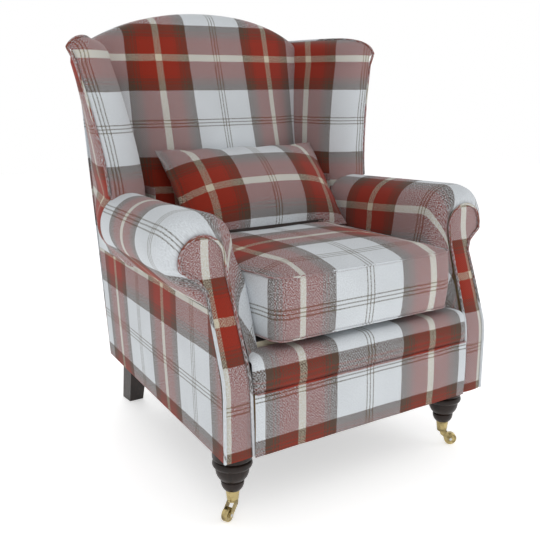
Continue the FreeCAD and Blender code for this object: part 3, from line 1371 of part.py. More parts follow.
def castor(side, sign, turn):
    """All four pieces of one castor."""
    cup = turned(f"castor_cup_{side}", CUP_PROFILE)
    cup.Placement = castor_place(sign, 0)
    node(cup, f"castor_cup_{side}")

    horn = new_body(f"castor_horn_{side}")
    plate = new_sketch(horn, f"horn_plate_{side}", "XY_Plane", HORN_LOW)
    ring(plate, "0", "0", "Dims.cup_low_r - 0.6")
    ring(plate, "0", "0", "Dims.swivel_r + Dims.running")
    pad(horn, plate, f"horn_plate_pad_{side}", "Dims.horn_plate")
    for flank, way in (("near", 1), ("far", -1)):
        lift = CHEEK_NEAR if way > 0 else f"-({CHEEK_NEAR}) - Dims.cheek_thick"
        cheek = new_sketch(horn, f"horn_cheek_{flank}_{side}", "XZ_Plane", lift)
        draw(cheek, [
            ("-Dims.cup_low_r * 0.55", HORN_LOW + " + 0.6"), ("-Dims.cup_low_r * 0.4", f"{HORN_LOW} - 7"),
            ("Dims.trail - Dims.cheek_r * 0.6", "Dims.wheel_r - Dims.cheek_r * 0.8"),
            ("Dims.trail + Dims.cheek_r * 0.8", "Dims.wheel_r - Dims.cheek_r * 0.6"),
            ("Dims.trail + Dims.cheek_r * 0.8", "Dims.wheel_r + Dims.cheek_r * 0.6"),
            ("Dims.cup_low_r * 0.6", HORN_LOW + " + 0.6")], {2: ("Dims.cheek_r", 1), 3: ("Dims.cheek_r", 1)})
        pad(horn, cheek, f"horn_cheek_pad_{flank}_{side}", "Dims.cheek_thick")
    bore_sketch = new_sketch(horn, f"horn_bore_{side}", "XZ_Plane")
    ring(bore_sketch, "Dims.trail", "Dims.wheel_r", "Dims.axle_r")
    pocket_through(horn, bore_sketch, f"horn_hole_{side}")
    horn.Placement = castor_place(sign, turn)
    node(horn, f"castor_horn_{side}")

    across = f"({CHEEK_NEAR} + Dims.cheek_thick)"
    head = "Dims.axle_r + 1.3"
    axle = turned(f"castor_axle_{side}", [
        ("0", f"-{across} - 1.2"), (head, f"-{across} - 0.8"), (head, f"-{across}"), ("Dims.axle_r", f"-{across}"),
        ("Dims.axle_r", across), (head, across), (head, f"{across} + 0.8"), ("0", f"{across} + 1.2")])
    wheel = turned(f"castor_wheel_{side}", [
        ("Dims.axle_r + Dims.running", "-Dims.wheel_wide / 2"), ("Dims.axle_r + 3", "-Dims.wheel_wide / 2"),
        ("Dims.axle_r + 4", "-Dims.wheel_wide / 2 + 1.2"), ("Dims.wheel_r - 4", "-Dims.wheel_wide / 2 + 1.2"),
        ("Dims.wheel_r - 3", "-Dims.wheel_wide / 2 + 0.4"), ("Dims.wheel_r - 1.2", "-Dims.wheel_wide / 2 + 0.4"),
        ("Dims.wheel_r", "-Dims.wheel_wide / 2 + 2"), ("Dims.wheel_r", "Dims.wheel_wide / 2 - 2"),
        ("Dims.wheel_r - 1.2", "Dims.wheel_wide / 2 - 0.4"), ("Dims.wheel_r - 3", "Dims.wheel_wide / 2 - 0.4"),
        ("Dims.wheel_r - 4", "Dims.wheel_wide / 2 - 1.2"), ("Dims.axle_r + 4", "Dims.wheel_wide / 2 - 1.2"),
        ("Dims.axle_r + 3", "Dims.wheel_wide / 2"), ("Dims.axle_r + Dims.running", "Dims.wheel_wide / 2")])
    lay = FreeCAD.Placement(Vector(d.trail, 0, d.wheel_r), FreeCAD.Rotation(Vector(1, 0, 0), -90))
    for body, name in ((axle, f"castor_axle_{side}"), (wheel, f"castor_wheel_{side}")):
        body.Placement = castor_place(sign, turn).multiply(lay)
        node(body, name)


castor("left", -1, d.castor_turn_left)
castor("right", 1, d.castor_turn_right)


# Hanger bolts: one per leg, up into the corner blocks and the rear rail.

def bolt(name, x, y):
    """A plain round bolt."""
    made = doc.addObject("Part::Cylinder", name)
    made.setExpression("Radius", "Dims.bolt_r")
    made.setExpression("Height", "Dims.bolt_up + Dims.bolt_down - 1")
    made.setExpression("Placement.Base.x", x)
    made.setExpression("Placement.Base.y", y)
    made.setExpression("Placement.Base.z", "Dims.base_z - Dims.bolt_down + 0.5")
    return made


bolts = doc.addObject("Part::Compound", "bolt_set")
bolts.Links = [
    bolt("bolt_front_left", "-Dims.leg_x", f"-{LEG_Y}"), bolt("bolt_front_right", "Dims.leg_x", f"-{LEG_Y}"),
    bolt("bolt_rear_left", "-Dims.rear_leg_top_x", "Dims.rear_leg_top_y + 12"),
    bolt("bolt_rear_right", "Dims.rear_leg_top_x", "Dims.rear_leg_top_y + 12")]
node(bolts, "leg_bolts")


# Seat cushion: a boxed cover with a crowned top and bulging sides, its filling, and a zip in the rear boxing.

SEAT_Z = d.deck_z + d.deck_cloth + 0.4
SEAT_SHARES = [-1, -0.965, -0.9, -0.72, -0.36, 0, 0.36, 0.72, 0.9, 0.965, 1]


def seat_section(share, step):
    """Side view of the seat cushion at a share of its half-width, inset by a step."""
    half = d.seat_half - step
    corner = min(d.seat_corner, half * (1 - abs(share)) + 0.001)
    x = share * half + d.seat_x
    cut_in = d.seat_corner - math.sqrt(max(d.seat_corner ** 2 - (d.seat_corner - corner) ** 2, 0))
    front = -d.seat_front + step + cut_in * 0.9
    rear = d.seat_rear - step - cut_in * 0.25
    crown = (d.seat_crown - 2) * (1 - abs(share) ** 2.4) + 2
    low = SEAT_Z + d.seat_sag + step
    high = SEAT_Z + d.seat_sag + d.seat_boxing - step
    bulge = 5 + 2 * (1 - share ** 2)
    middle = (front + rear) / 2
    spots = [
        (Vector(x, front, low), Vector(x, front - bulge, (low + high) / 2), Vector(x, front, high)),
        (Vector(x, front, high), Vector(x, middle, high + crown), Vector(x, rear, high)),
        (Vector(x, rear, high), Vector(x, rear + 3, (low + high) / 2), Vector(x, rear, low)),
        (Vector(x, rear, low), Vector(x, middle, low - d.seat_sag), Vector(x, front, low)),
    ]
    return Part.Wire([Part.Arc(*spot).toShape() for spot in spots])


def seat_block(step):
    """The seat cushion's solid, inset by a step."""
    return loft([seat_section(share, step) for share in SEAT_SHARES], False)


node(soft(seat_block(0).cut(seat_block(d.cloth)), "seat_cushion_cloth"), "seat_cushion_cover")
node(soft(seat_block(d.cloth + d.gap), "seat_cushion_form"), "seat_cushion_filling")

ZIP_Z = "Dims.deck_z + Dims.deck_cloth + 0.4 + Dims.seat_sag + Dims.seat_boxing / 2"
ZIP_FACE = "Dims.seat_rear + 3.6"
PULL_END = "Dims.zip_long_seat / 2 - 4"
node(block(
    "seat_zip",
    [("-Dims.zip_long_seat / 2", f"{ZIP_Z} - Dims.zip_tall / 2"),
     ("Dims.zip_long_seat / 2", f"{ZIP_Z} - Dims.zip_tall / 2"),
     ("Dims.zip_long_seat / 2", f"{ZIP_Z} + Dims.zip_tall / 2"),
     ("-Dims.zip_long_seat / 2", f"{ZIP_Z} + Dims.zip_tall / 2")],
    "XZ_Plane", f"-({ZIP_FACE}) - 1.4", "1.4"), "seat_zip")
node(block(
    "seat_zip_slider",
    [(f"{PULL_END} - Dims.slider_long", f"{ZIP_Z} - 4"), (PULL_END, f"{ZIP_Z} - 3"),
     (PULL_END, f"{ZIP_Z} + 3"), (f"{PULL_END} - Dims.slider_long", f"{ZIP_Z} + 4")],
    "XZ_Plane", f"-({ZIP_FACE}) - 1.7 - 2.4", "2.4"), "seat_zip_slider")


# Lumbar cushion: a puffed cover with pointed corners, leaning on the back, with a zip near its lower edge.

LUMBAR_SHARES = [-1, -0.93, -0.8, -0.45, 0, 0.45, 0.8, 0.93, 1]


def lumbar_size(share, step):
    """Half-height and half-thickness of the lumbar cushion at a share of its half-width."""
    tall = d.lumbar_tall / 2 - 8 * (1 - share ** 4) - step * 1.6
    thick = (d.lumbar_thick / 2 - 5) * (1 - abs(share) ** 2.6) ** 0.6 + 5 - step
    return tall, thick


def lumbar_section(share, step):
    """Lens-shaped section: front and back panels as arcs that meet at the edges."""
    tall, thick = lumbar_size(share, step)
    x = share * (d.lumbar_wide / 2 - step)
    ends = [Vector(x, 0, -tall), Vector(x, 0, tall)]
    front = Part.Arc(ends[0], Vector(x, -thick * d.lumbar_front, 0), ends[1]).toShape()
    rear = Part.Arc(ends[1], Vector(x, thick * (2 - d.lumbar_front), 0), ends[0]).toShape()
    return Part.Wire([front, rear])


def lumbar_block(step):
    """The lumbar cushion's solid, inset by a step, upright with its middle at the origin."""
    return loft([lumbar_section(share, step) for share in LUMBAR_SHARES], False)


def lumbar_placement():
    """Stand the cushion's lower edge on the seat cushion's crown and lean it on the inside back."""
    lean = math.radians(d.lumbar_lean)
    half = d.lumbar_tall / 2
    seat_top = SEAT_Z + d.seat_sag + d.seat_boxing + d.seat_crown
    z = seat_top - 11 + half * math.cos(lean)
    top_z = z + half * math.cos(lean)
    y = back_face(top_z) - 5.8 - half * math.sin(lean)
    return FreeCAD.Placement(Vector(d.lumbar_x, y, z), FreeCAD.Rotation(Vector(1, 0, 0), -d.lumbar_lean))


lumbar_cover = soft(lumbar_block(0).cut(lumbar_block(d.cloth)), "lumbar_cloth")
lumbar_fill = soft(lumbar_block(d.cloth + d.gap), "lumbar_form")
lumbar_cover.Placement = lumbar_placement()
lumbar_fill.Placement = lumbar_placement()
node(lumbar_cover, "lumbar_cushion_cover")
node(lumbar_fill, "lumbar_cushion_filling")


def lumbar_strip(length, width, near, far, start):
    """A flat strip along the front panel's lower part, tangent to the panel."""
    tall, half_thick = lumbar_size(0, 0)
    thick = half_thick * d.lumbar_front
    radius = (tall ** 2 + thick ** 2) / (2 * thick)
    up = -tall + d.zip_rise
    out = math.sqrt(radius ** 2 - up ** 2)
    face = Vector(0, radius - thick - out, up)
    normal = Vector(0, -out, up).normalize()
    turn = FreeCAD.Rotation(Vector(0, -1, 0), normal)
    box = Part.makeBox(length, far - near, width, Vector(start, -far, -width / 2))
    box.Placement = FreeCAD.Placement(face, turn)
    return box


zip_end = d.zip_long_lumbar / 2
zip_strip = soft(lumbar_strip(d.zip_long_lumbar, d.zip_tall * 0.6, 0.3, 1.5, -zip_end), "lumbar_tape")
zip_slide = soft(lumbar_strip(d.slider_long, 6, 1.8, 4.0, zip_end - d.slider_long - 4), "lumbar_pull")
for piece, name in ((zip_strip, "lumbar_zip"), (zip_slide, "lumbar_zip_slider")):
    piece.Placement = lumbar_placement().multiply(piece.Placement)
    node(piece, name)


# Check every object, then write each node.

doc.recompute()
for thing in doc.Objects:
    if "Invalid" in thing.State or "Error" in thing.State:
        raise RuntimeError(f"{thing.Name} failed: {thing.State}")
os.makedirs("parts", exist_ok=True)
for thing in NODES:
    if thing.Shape.isNull() or not thing.Shape.isValid():
        raise RuntimeError(f"{thing.Label} has no valid shape")
    thing.Shape.exportStep(f"parts/{thing.Label}.step")
    print(thing.Label, len(thing.Shape.Solids), round(thing.Shape.Volume / 1000, 1))
print("nodes", len(NODES))
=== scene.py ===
import math

import bmesh
import bpy
import numpy as np
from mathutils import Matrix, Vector


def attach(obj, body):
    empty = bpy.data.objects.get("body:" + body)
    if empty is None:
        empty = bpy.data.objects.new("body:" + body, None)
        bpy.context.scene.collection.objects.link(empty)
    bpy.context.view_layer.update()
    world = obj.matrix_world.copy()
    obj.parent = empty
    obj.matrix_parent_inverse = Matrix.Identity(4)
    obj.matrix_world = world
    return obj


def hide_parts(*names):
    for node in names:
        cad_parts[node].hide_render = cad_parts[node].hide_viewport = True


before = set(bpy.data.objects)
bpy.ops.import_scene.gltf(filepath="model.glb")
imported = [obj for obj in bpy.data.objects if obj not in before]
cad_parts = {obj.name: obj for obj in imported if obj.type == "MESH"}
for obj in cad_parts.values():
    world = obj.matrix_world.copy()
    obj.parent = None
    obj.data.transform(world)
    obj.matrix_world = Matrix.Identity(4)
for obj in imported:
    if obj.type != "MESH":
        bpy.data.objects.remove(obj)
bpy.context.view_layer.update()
scene = bpy.context.scene
scene.view_settings.view_transform = "Standard"


# Camera: at the photograph's viewing angle, a little above the arms, to the front left of the chair,
# with a lens long enough that the uprights stay nearly parallel.
camera = bpy.data.objects.new("camera", bpy.data.cameras.new("camera"))
scene.collection.objects.link(camera)
scene.camera = camera
camera.data.lens = 54.04
camera.data.sensor_width = 36
camera.location = (-1.0954, -1.6162, 0.8773)
sight = Vector((0.03149, 0.024, 0.40836)) - camera.location
camera.rotation_euler = sight.to_track_quat("-Z", "Y").to_euler()


# Studio: a pale floor that keeps the chair's shadow, a white surround and three broad soft lamps,
# at a level at which a colour renders about as it is written.

def link(name, mesh):
    """A new object in the scene."""
    made = bpy.data.objects.new(name, mesh)
    scene.collection.objects.link(made)
    return made


def grid_faces(rows, columns, closed=False):
    """Quads of a grid of points stored row by row; closed joins the last column to the first."""
    wide = columns if closed else columns - 1
    r, c = np.meshgrid(np.arange(rows - 1), np.arange(wide), indexing="ij")
    nxt = (c + 1) % columns
    return np.stack([r * columns + c, r * columns + nxt, (r + 1) * columns + nxt, (r + 1) * columns + c],
                    axis=-1).reshape(-1, 4)


def surface(name, points, cloth_uv=None, closed=False, flip=False, smooth=True):
    """A mesh object from a grid of points; cloth_uv gives each point's place on the flat cloth, in metres."""
    rows, columns = points.shape[:2]
    faces = grid_faces(rows, columns, closed)
    if flip:
        faces = faces[:, ::-1]
    mesh = bpy.data.meshes.new(name)
    mesh.from_pydata(points.reshape(-1, 3).tolist(), [], faces.tolist())
    if cloth_uv is not None:
        layer = mesh.uv_layers.new(name="cloth")
        layer.data.foreach_set("uv", cloth_uv.reshape(-1, 2)[faces.reshape(-1)].astype(np.float32).ravel())
    mesh.polygons.foreach_set("use_smooth", np.full(len(faces), smooth))
    return link(name, mesh)


def welded(parts, name, reach=0.00005):
    """One object from several, with doubled points merged and faces turned outwards."""
    joined = bmesh.new()
    joined.loops.layers.uv.new("cloth")
    for part in parts:
        joined.from_mesh(part.data)
        bpy.data.objects.remove(part)
    bmesh.ops.remove_doubles(joined, verts=joined.verts, dist=reach)
    bmesh.ops.dissolve_degenerate(joined, edges=joined.edges, dist=1e-7)
    bmesh.ops.recalc_face_normals(joined, faces=joined.faces)
    mesh = bpy.data.meshes.new(name)
    joined.to_mesh(mesh)
    joined.free()
    mesh.polygons.foreach_set("use_smooth", np.ones(len(mesh.polygons), dtype=bool))
    return link(name, mesh)


def lamp(name, place, aim, power, size):
    """A square softbox aimed at a point."""
    data = bpy.data.lights.new(name, "AREA")
    data.energy = power
    data.size = size
    made = link(name, data)
    made.location = place
    made.rotation_euler = (Vector(aim) - Vector(place)).to_track_quat("-Z", "Y").to_euler()


lamp("key_softbox", (-1.6, -2.4, 2.9), (0, 0, 0.5), 21, 2.2)
lamp("fill_softbox", (2.6, -1.9, 1.9), (0, 0, 0.5), 14, 2.4)
lamp("rear_softbox", (0.6, 2.6, 2.6), (0, 0, 0.7), 25, 2.2)


def new_material(name):
    """An empty node material with its Principled shader."""
    made = bpy.data.materials.new(name)
    made.use_nodes = True
    return made, made.node_tree, made.node_tree.nodes["Principled BSDF"]


def put(tree, kind, inputs=None, **settings):
    """A node with settings; inputs are constants or sockets to link, by index or name."""
    made = tree.nodes.new(kind)
    for key, setting in settings.items():
        setattr(made, key, setting)
    for key, feed in (inputs or {}).items():
        if isinstance(feed, bpy.types.NodeSocket):
            tree.links.new(feed, made.inputs[key])
        else:
            made.inputs[key].default_value = feed
    return made


def calc(tree, operation, *feeds, use_clamp=False):
    """A Math node's result."""
    made = put(tree, "ShaderNodeMath", dict(enumerate(feeds)), operation=operation, use_clamp=use_clamp)
    return made.outputs[0]


world = bpy.data.worlds.new("surround")
scene.world = world
world.use_nodes = True
world_tree = world.node_tree
world_tree.nodes.clear()
soft_sky = put(world_tree, "ShaderNodeBackground", {0: (1, 1, 1, 1), 1: 0.57})
seen_sky = put(world_tree, "ShaderNodeBackground", {0: (1, 1, 1, 1), 1: 1.0})
sky_path = put(world_tree, "ShaderNodeLightPath")
sky_seen = calc(world_tree, "MAXIMUM", sky_path.outputs["Is Camera Ray"], sky_path.outputs["Is Glossy Ray"])
sky_mix = put(world_tree, "ShaderNodeMixShader",
              {0: sky_seen, 1: soft_sky.outputs[0], 2: seen_sky.outputs[0]})
put(world_tree, "ShaderNodeOutputWorld", {0: sky_mix.outputs[0]})

floor_line = np.linspace(-6, 6, 13)
floor_x, floor_y = np.meshgrid(floor_line, floor_line, indexing="ij")
floor = surface("floor", np.stack([floor_x, floor_y, np.full_like(floor_x, -0.0004)], axis=-1))
floor_mat, _, floor_shader = new_material("pale_floor")
floor_shader.inputs["Base Color"].default_value = (0.93, 0.93, 0.93, 1)
floor_shader.inputs["Roughness"].default_value = 0.9
floor_shader.inputs["Specular IOR Level"].default_value = 0.1
floor_shader.inputs["Emission Color"].default_value = (1, 1, 1, 1)
floor_shader.inputs["Emission Strength"].default_value = 0.50
floor.data.materials.append(floor_mat)


# Check cloth: a wool-look twill, woven with wide bands of undyed and dyed yarn in both directions.
# The dyed band runs from a dark edge through rust to a cream stripe at its middle; the undyed band
# carries three thin olive lines. Every cover is cut from it, so its place on the flat cloth is its UV.

REPEAT = 0.354
HALF = REPEAT / 2


def remap(tree, feed, low, high, first, last):
    """A Map Range node's result: low to high becomes first to last."""
    return put(tree, "ShaderNodeMapRange", {0: feed, 1: low, 2: high, 3: first, 4: last}).outputs[0]


def noise(tree, place, scale, detail, distortion=0.0):
    """A Noise Texture's grey value."""
    feeds = {"Vector": place, "Scale": scale, "Detail": detail, "Distortion": distortion}
    return put(tree, "ShaderNodeTexNoise", feeds).outputs["Fac"]


def colour_mix(tree, share, first, second):
    """A colour between two."""
    return put(tree, "ShaderNodeMix", {"Factor": share, 6: first, 7: second}, data_type="RGBA").outputs[2]


def relief(tree, shader, strength, distance, height):
    """A Bump node from a height to the shader's normal."""
    bump = put(tree, "ShaderNodeBump", {"Strength": strength, "Distance": distance, "Height": height})
    tree.links.new(bump.outputs[0], shader.inputs["Normal"])


def yarn_bands(tree, place, speck):
    """Yarn colour along one direction of the cloth: a ramp over the distance from the undyed band."""
    turned = calc(tree, "DIVIDE", place, REPEAT)
    shifted = calc(tree, "ADD", turned, 0.5)
    part = calc(tree, "FRACT", shifted)
    centred = calc(tree, "SUBTRACT", part, 0.5)
    away = calc(tree, "ABSOLUTE", centred)
    share = calc(tree, "MULTIPLY", away, 2.0)
    frayed = calc(tree, "ADD", share, speck)
    ramp = put(tree, "ShaderNodeValToRGB", {0: frayed})
    ramp.color_ramp.interpolation = "LINEAR"
    undyed, dark, rust = (0.825, 0.845, 0.862), (0.325, 0.25, 0.205), (0.565, 0.170, 0.100)
    cream, olive, streak, brown = (0.80, 0.765, 0.68), (0.43, 0.41, 0.36), (0.47, 0.195, 0.135), (0.37, 0.215, 0.17)
    line = 0.0010 / HALF
    outer = 0.0088 / HALF
    stops = [(0, olive), (line, olive), (line * 1.7, undyed), (outer - line * 1.7, undyed),
             (outer - line, olive), (outer + line, olive), (outer + line * 1.7, undyed), (0.497, undyed),
             (0.503, dark), (0.595, dark), (0.602, streak), (0.614, streak), (0.620, dark), (0.640, dark),
             (0.646, streak), (0.664, streak), (0.670, brown), (0.684, brown), (0.690, rust), (0.712, rust),
             (0.716, streak), (0.724, streak), (0.730, rust), (0.945, rust), (0.951, cream)]
    elements = ramp.color_ramp.elements
    while len(elements) < len(stops):
        elements.new(0.5)
    for element, stop in zip(elements, stops):
        element.position = stop[0]
    for element, stop in zip(elements, stops):
        element.color = (*stop[1], 1)
    halfway = put(tree, "ShaderNodeGamma", {0: ramp.outputs[0], 1: 1.5})
    return halfway.outputs[0]


def weave_tree(name):
    """An empty weave group: Place goes in; Color, Height and Fuzz come out."""
    tree = bpy.data.node_groups.new(name, "ShaderNodeTree")
    tree.interface.new_socket("Place", in_out="INPUT", socket_type="NodeSocketVector")
    tree.interface.new_socket("Color", in_out="OUTPUT", socket_type="NodeSocketColor")
    tree.interface.new_socket("Height", in_out="OUTPUT", socket_type="NodeSocketFloat")
    tree.interface.new_socket("Fuzz", in_out="OUTPUT", socket_type="NodeSocketFloat")
    given = put(tree, "NodeGroupInput")
    result = put(tree, "NodeGroupOutput")
    return tree, given.outputs[0], result


def check_weave_group(name, pitch, steep):
    """Shader group of the check: Place in metres on the flat cloth gives Color, Height and Fuzz.

    The twill's dots are two crossed sines of x + y and x - y at a pitch, the first steeper than the second.
    """
    tree, given, result = weave_tree(name)
    wander = put(tree, "ShaderNodeTexNoise", {"Vector": given, "Scale": 18.0, "Detail": 2.0})
    drift = put(tree, "ShaderNodeVectorMath", {0: wander.outputs["Color"], 1: (0.5, 0.5, 0.5)},
                operation="SUBTRACT")
    drift = put(tree, "ShaderNodeVectorMath", {0: drift.outputs[0], "Scale": 0.0022}, operation="SCALE")
    place = put(tree, "ShaderNodeVectorMath", {0: given, 1: drift.outputs[0]}, operation="ADD")
    split = put(tree, "ShaderNodeSeparateXYZ", {0: place.outputs[0]})
    grain = noise(tree, given, 400.0, 2.0)
    grain_mid = calc(tree, "SUBTRACT", grain, 0.5)
    fray = calc(tree, "MULTIPLY", grain_mid, 0.012)
    warp = yarn_bands(tree, split.outputs[0], fray)
    weft = yarn_bands(tree, split.outputs[1], fray)
    diagonal = calc(tree, "ADD", split.outputs[0], split.outputs[1])
    twill = calc(tree, "MULTIPLY", diagonal, 2 * math.pi / pitch)
    twill = calc(tree, "SINE", twill)
    against = calc(tree, "SUBTRACT", split.outputs[0], split.outputs[1])
    against = calc(tree, "MULTIPLY", against, 2 * math.pi / pitch)
    against = calc(tree, "SINE", against)
    dots = calc(tree, "MULTIPLY_ADD", against, 0.6, twill)
    tilt = calc(tree, "MULTIPLY", dots, steep)
    mottle = calc(tree, "MULTIPLY", grain_mid, 2.8)
    factor = calc(tree, "ADD", tilt, mottle)
    factor = calc(tree, "ADD", factor, 0.5, use_clamp=True)
    woven = colour_mix(tree, factor, warp, weft)
    blotch = noise(tree, given, 9.0, 3.0)
    shade = remap(tree, blotch, 0.3, 0.7, 0.94, 1.03)
    pick = remap(tree, grain, 0.3, 0.7, 0.84, 1.10)
    both = calc(tree, "MULTIPLY", shade, pick)
    unlike = put(tree, "ShaderNodeVectorMath", {0: warp, 1: weft}, operation="DISTANCE")
    crossed = remap(tree, unlike.outputs["Value"], 0.0, 1.05, 1.0, 0.72)
    deep = calc(tree, "MULTIPLY", both, crossed)
    linear = put(tree, "ShaderNodeGamma", {0: woven, 1: 2.2 / 1.5})
    toned = put(tree, "ShaderNodeVectorMath", {0: linear.outputs[0], "Scale": deep}, operation="SCALE")
    tree.links.new(toned.outputs[0], result.inputs[0])
    threads = calc(tree, "MULTIPLY", twill, 0.35)
    height = calc(tree, "ADD", threads, grain)
    tree.links.new(height, result.inputs[1])
    tree.links.new(grain, result.inputs[2])
    return tree


CHECK = check_weave_group("check_weave", 0.0060, 0.14)


def cloth_material(name, group, depth=0.35, sheen=0.12):
    """Matt woven cloth with its weave from a group that reads the piece's own cloth map."""
    made, tree, shader = new_material(name)
    spot = put(tree, "ShaderNodeUVMap", uv_map="cloth")
    weave = put(tree, "ShaderNodeGroup")
    weave.node_tree = group
    tree.links.new(spot.outputs[0], weave.inputs[0])
    tree.links.new(weave.outputs["Color"], shader.inputs["Base Color"])
    relief(tree, shader, depth, 0.0006, weave.outputs["Height"])
    rough = remap(tree, weave.outputs["Fuzz"], 0.3, 0.7, 0.84, 0.97)
    tree.links.new(rough, shader.inputs["Roughness"])
    shader.inputs["Specular IOR Level"].default_value = 0.22
    shader.inputs["Sheen Weight"].default_value = sheen
    shader.inputs["Sheen Roughness"].default_value = 0.6
    return made


check_cloth = cloth_material("check_cloth", CHECK)


def dress(piece, body, slot_name, material, *nodes):
    """Give a cover its material, its body and the CAD nodes that it stands for; slot_name is not used."""
    piece.data.materials.clear()
    piece.data.materials.append(material)
    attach(piece, body)
    if nodes:
        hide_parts(*nodes)


def smooth_step(t):
    """0 below 0, 1 above 1, smooth between."""
    t = np.clip(t, 0, 1)
    return t * t * (3 - 2 * t)


def spread(*parts):
    """Points from their coordinates, each given over the whole grid, one row or one column."""
    return np.stack(np.broadcast_arrays(*parts), axis=-1)


def crowded(count, share):
    """Numbers from -1 to 1, crowded towards both ends: a share of a sine, the rest even."""
    even = np.linspace(-1, 1, count)
    return np.sin(even * math.pi / 2) * share + even * (1 - share)


def arc_length(points, axis):
    """Distance run along a grid's rows (axis 0) or columns (axis 1)."""
    steps = np.linalg.norm(np.diff(points, axis=axis), axis=-1)
    pad = [(0, 0), (0, 0)]
    pad[axis] = (1, 0)
    return np.cumsum(np.pad(steps, pad), axis=axis)


# Surfaces shared by the covers, as in the frame: one function of height or depth each, in metres.

FOOT_Y = -0.387
NECK_Y = -0.311


def side_x(y, z):
    """Half-width over the outside arms: a plane that leans outwards and narrows to the rear."""
    rise = z - 0.160
    front = 0.357 + 0.02 * rise
    rear = 0.272 + 0.06 * rise
    return front + (rear - front) * (y - FOOT_Y) / 0.729


def arm_inner(y):
    """Half-width between the inside arms: a line that narrows towards the rear, then runs straight."""
    share = np.clip((y - FOOT_Y) / 0.507, 0, 1)
    return 0.292 - 0.034 * share


def facing_y(z):
    """Side profile of the facing: two upright lines joined by a slope with round bends."""
    z = np.asarray(z, dtype=float)
    slope, radius, foot, neck, knee = 0.36, 0.150, FOOT_Y, NECK_Y, 0.315
    angle = math.atan(slope)
    reach = radius * math.tan(angle / 2)
    neck_z = knee + (neck - foot) / slope
    low = foot + radius - np.sqrt(np.maximum(radius ** 2 - (z - knee + reach) ** 2, 0))
    high = neck - radius + np.sqrt(np.maximum(radius ** 2 - (neck_z + reach - z) ** 2, 0))
    y = foot + (z - knee) * slope
    y = np.where(z < knee + reach * math.cos(angle), low, y)
    y = np.where(z > neck_z - reach * math.cos(angle), high, y)
    y = np.where(z <= knee - reach, foot, y)
    return np.where(z >= neck_z + reach, neck, y)


WING_FOOT = 0.628
REAR_CORNER = 0.3412
ARM_SEAM = 0.452


def crease_line(z):
    """Depth of the crease between back and wings."""
    return 0.220 + 0.179 * (z - WING_FOOT)


def crease_x(z):
    """Half-width of the crease between back and wings."""
    return 0.251 + 0.05 * (z - 0.520) + 0.33 * np.maximum(z - 0.70, 0) ** 2


def back_face(z):
    """Depth of the inside back on the centre line."""
    return 0.168 + 0.278 * (z - 0.703)


def crest(x):
    """Height of the arched top."""
    return 1.0385 - 0.064 * (np.abs(x) / 0.285) ** 2.1


def rounded_path(corners, radii, counts):
    """Points along an open path with round corners, as many in each straight and arc as counts says.

    The corners are (..., 2) arrays. Each arc touches both sides: it starts r/tan(half angle) from the corner.
    """
    pieces = []
    start = corners[0]
    for index in range(1, len(corners) - 1):
        corner = corners[index]
        back = corners[index - 1] - corner
        ahead = corners[index + 1] - corner
        back = back / np.linalg.norm(back, axis=-1, keepdims=True)
        ahead = ahead / np.linalg.norm(ahead, axis=-1, keepdims=True)
        half = np.arccos(np.clip((back * ahead).sum(-1), -1, 1)) / 2
        radius = np.broadcast_to(radii[index - 1], half.shape)
        reach = (radius / np.tan(half))[..., None]
        first = corner + back * reach
        last = corner + ahead * reach
        middle = back + ahead
        middle = (corner + middle / np.linalg.norm(middle, axis=-1, keepdims=True)
                  * (radius / np.sin(half))[..., None])
        t = np.linspace(0, 1, counts[2 * index - 2], endpoint=False)
        pieces.append(start[..., None, :] + (first - start)[..., None, :] * t[:, None])
        a = first - middle
        b = last - middle
        sweep = (math.pi - 2 * half)[..., None]
        w = np.linspace(0, 1, counts[2 * index - 1], endpoint=False)
        ka = (np.sin((1 - w) * sweep) / np.maximum(np.sin(sweep), 1e-6))[..., None]
        kb = (np.sin(w * sweep) / np.maximum(np.sin(sweep), 1e-6))[..., None]
        pieces.append(middle[..., None, :] + a[..., None, :] * ka + b[..., None, :] * kb)
        start = last
    t = np.linspace(0, 1, counts[-1])
    pieces.append(start[..., None, :] + (corners[-1] - start)[..., None, :] * t[:, None])
    return np.concatenate(pieces, axis=-2)


# Inside back: check cloth drawn over crowned padding from the seat up and over the arched top rail,
# and tacked to the frame behind; it sinks into the crease beside each wing.
BACK_CLOTH_ZERO = 0.7695
BACK_SHARES = crowded(121, 0.35)
bow = np.abs(BACK_SHARES) ** 2.6
top_z = crest(BACK_SHARES * 0.2975)
front_low = back_face(0.300) + (crease_line(0.300) - back_face(0.300)) * bow
front_top = back_face(top_z) + (crease_line(top_z) - back_face(top_z)) * bow
flat_z = np.full_like(top_z, 0.300)
back_profile = rounded_path(
    [np.stack(c, axis=-1) for c in (
        (front_low, flat_z), (front_top, top_z), (np.full_like(top_z, 0.3405), top_z),
        (np.full_like(top_z, 0.3405), top_z - 0.055))],
    [0.042 * (1 - 0.35 * np.abs(BACK_SHARES)), 0.024 * (1 - 0.3 * np.abs(BACK_SHARES))], [90, 14, 8, 10, 8])
back_y, back_z = back_profile[..., 0], back_profile[..., 1]
back_x = BACK_SHARES[:, None] * crease_x(back_z)
pull = (0.0016 * np.sin(back_x * 70 + 2.1 * np.sin(back_z * 9)) * np.exp(-((back_z - 0.66) / 0.16) ** 2)
        * (1 - bow[:, None]))
back_y = back_y + pull
back_points = np.stack([back_x, back_y, back_z], axis=-1)
back_run = arc_length(back_points, 1)
over = np.argmax(back_z, axis=1)
crest_run = np.take_along_axis(back_run, over[:, None], 1)
front_v = (back_z - BACK_CLOTH_ZERO) * 1.113
back_v = np.where(back_run <= crest_run, front_v,
                  (np.take_along_axis(back_z, over[:, None], 1) - BACK_CLOTH_ZERO) * 1.113
                  + (back_run - crest_run) * 1.05)
back_uv = np.stack([(back_x - 0.007) * 1.1, back_v], axis=-1)
inside_back = surface("inside_back", back_points, back_uv)
thick = inside_back.modifiers.new("cloth_thickness", "SOLIDIFY")
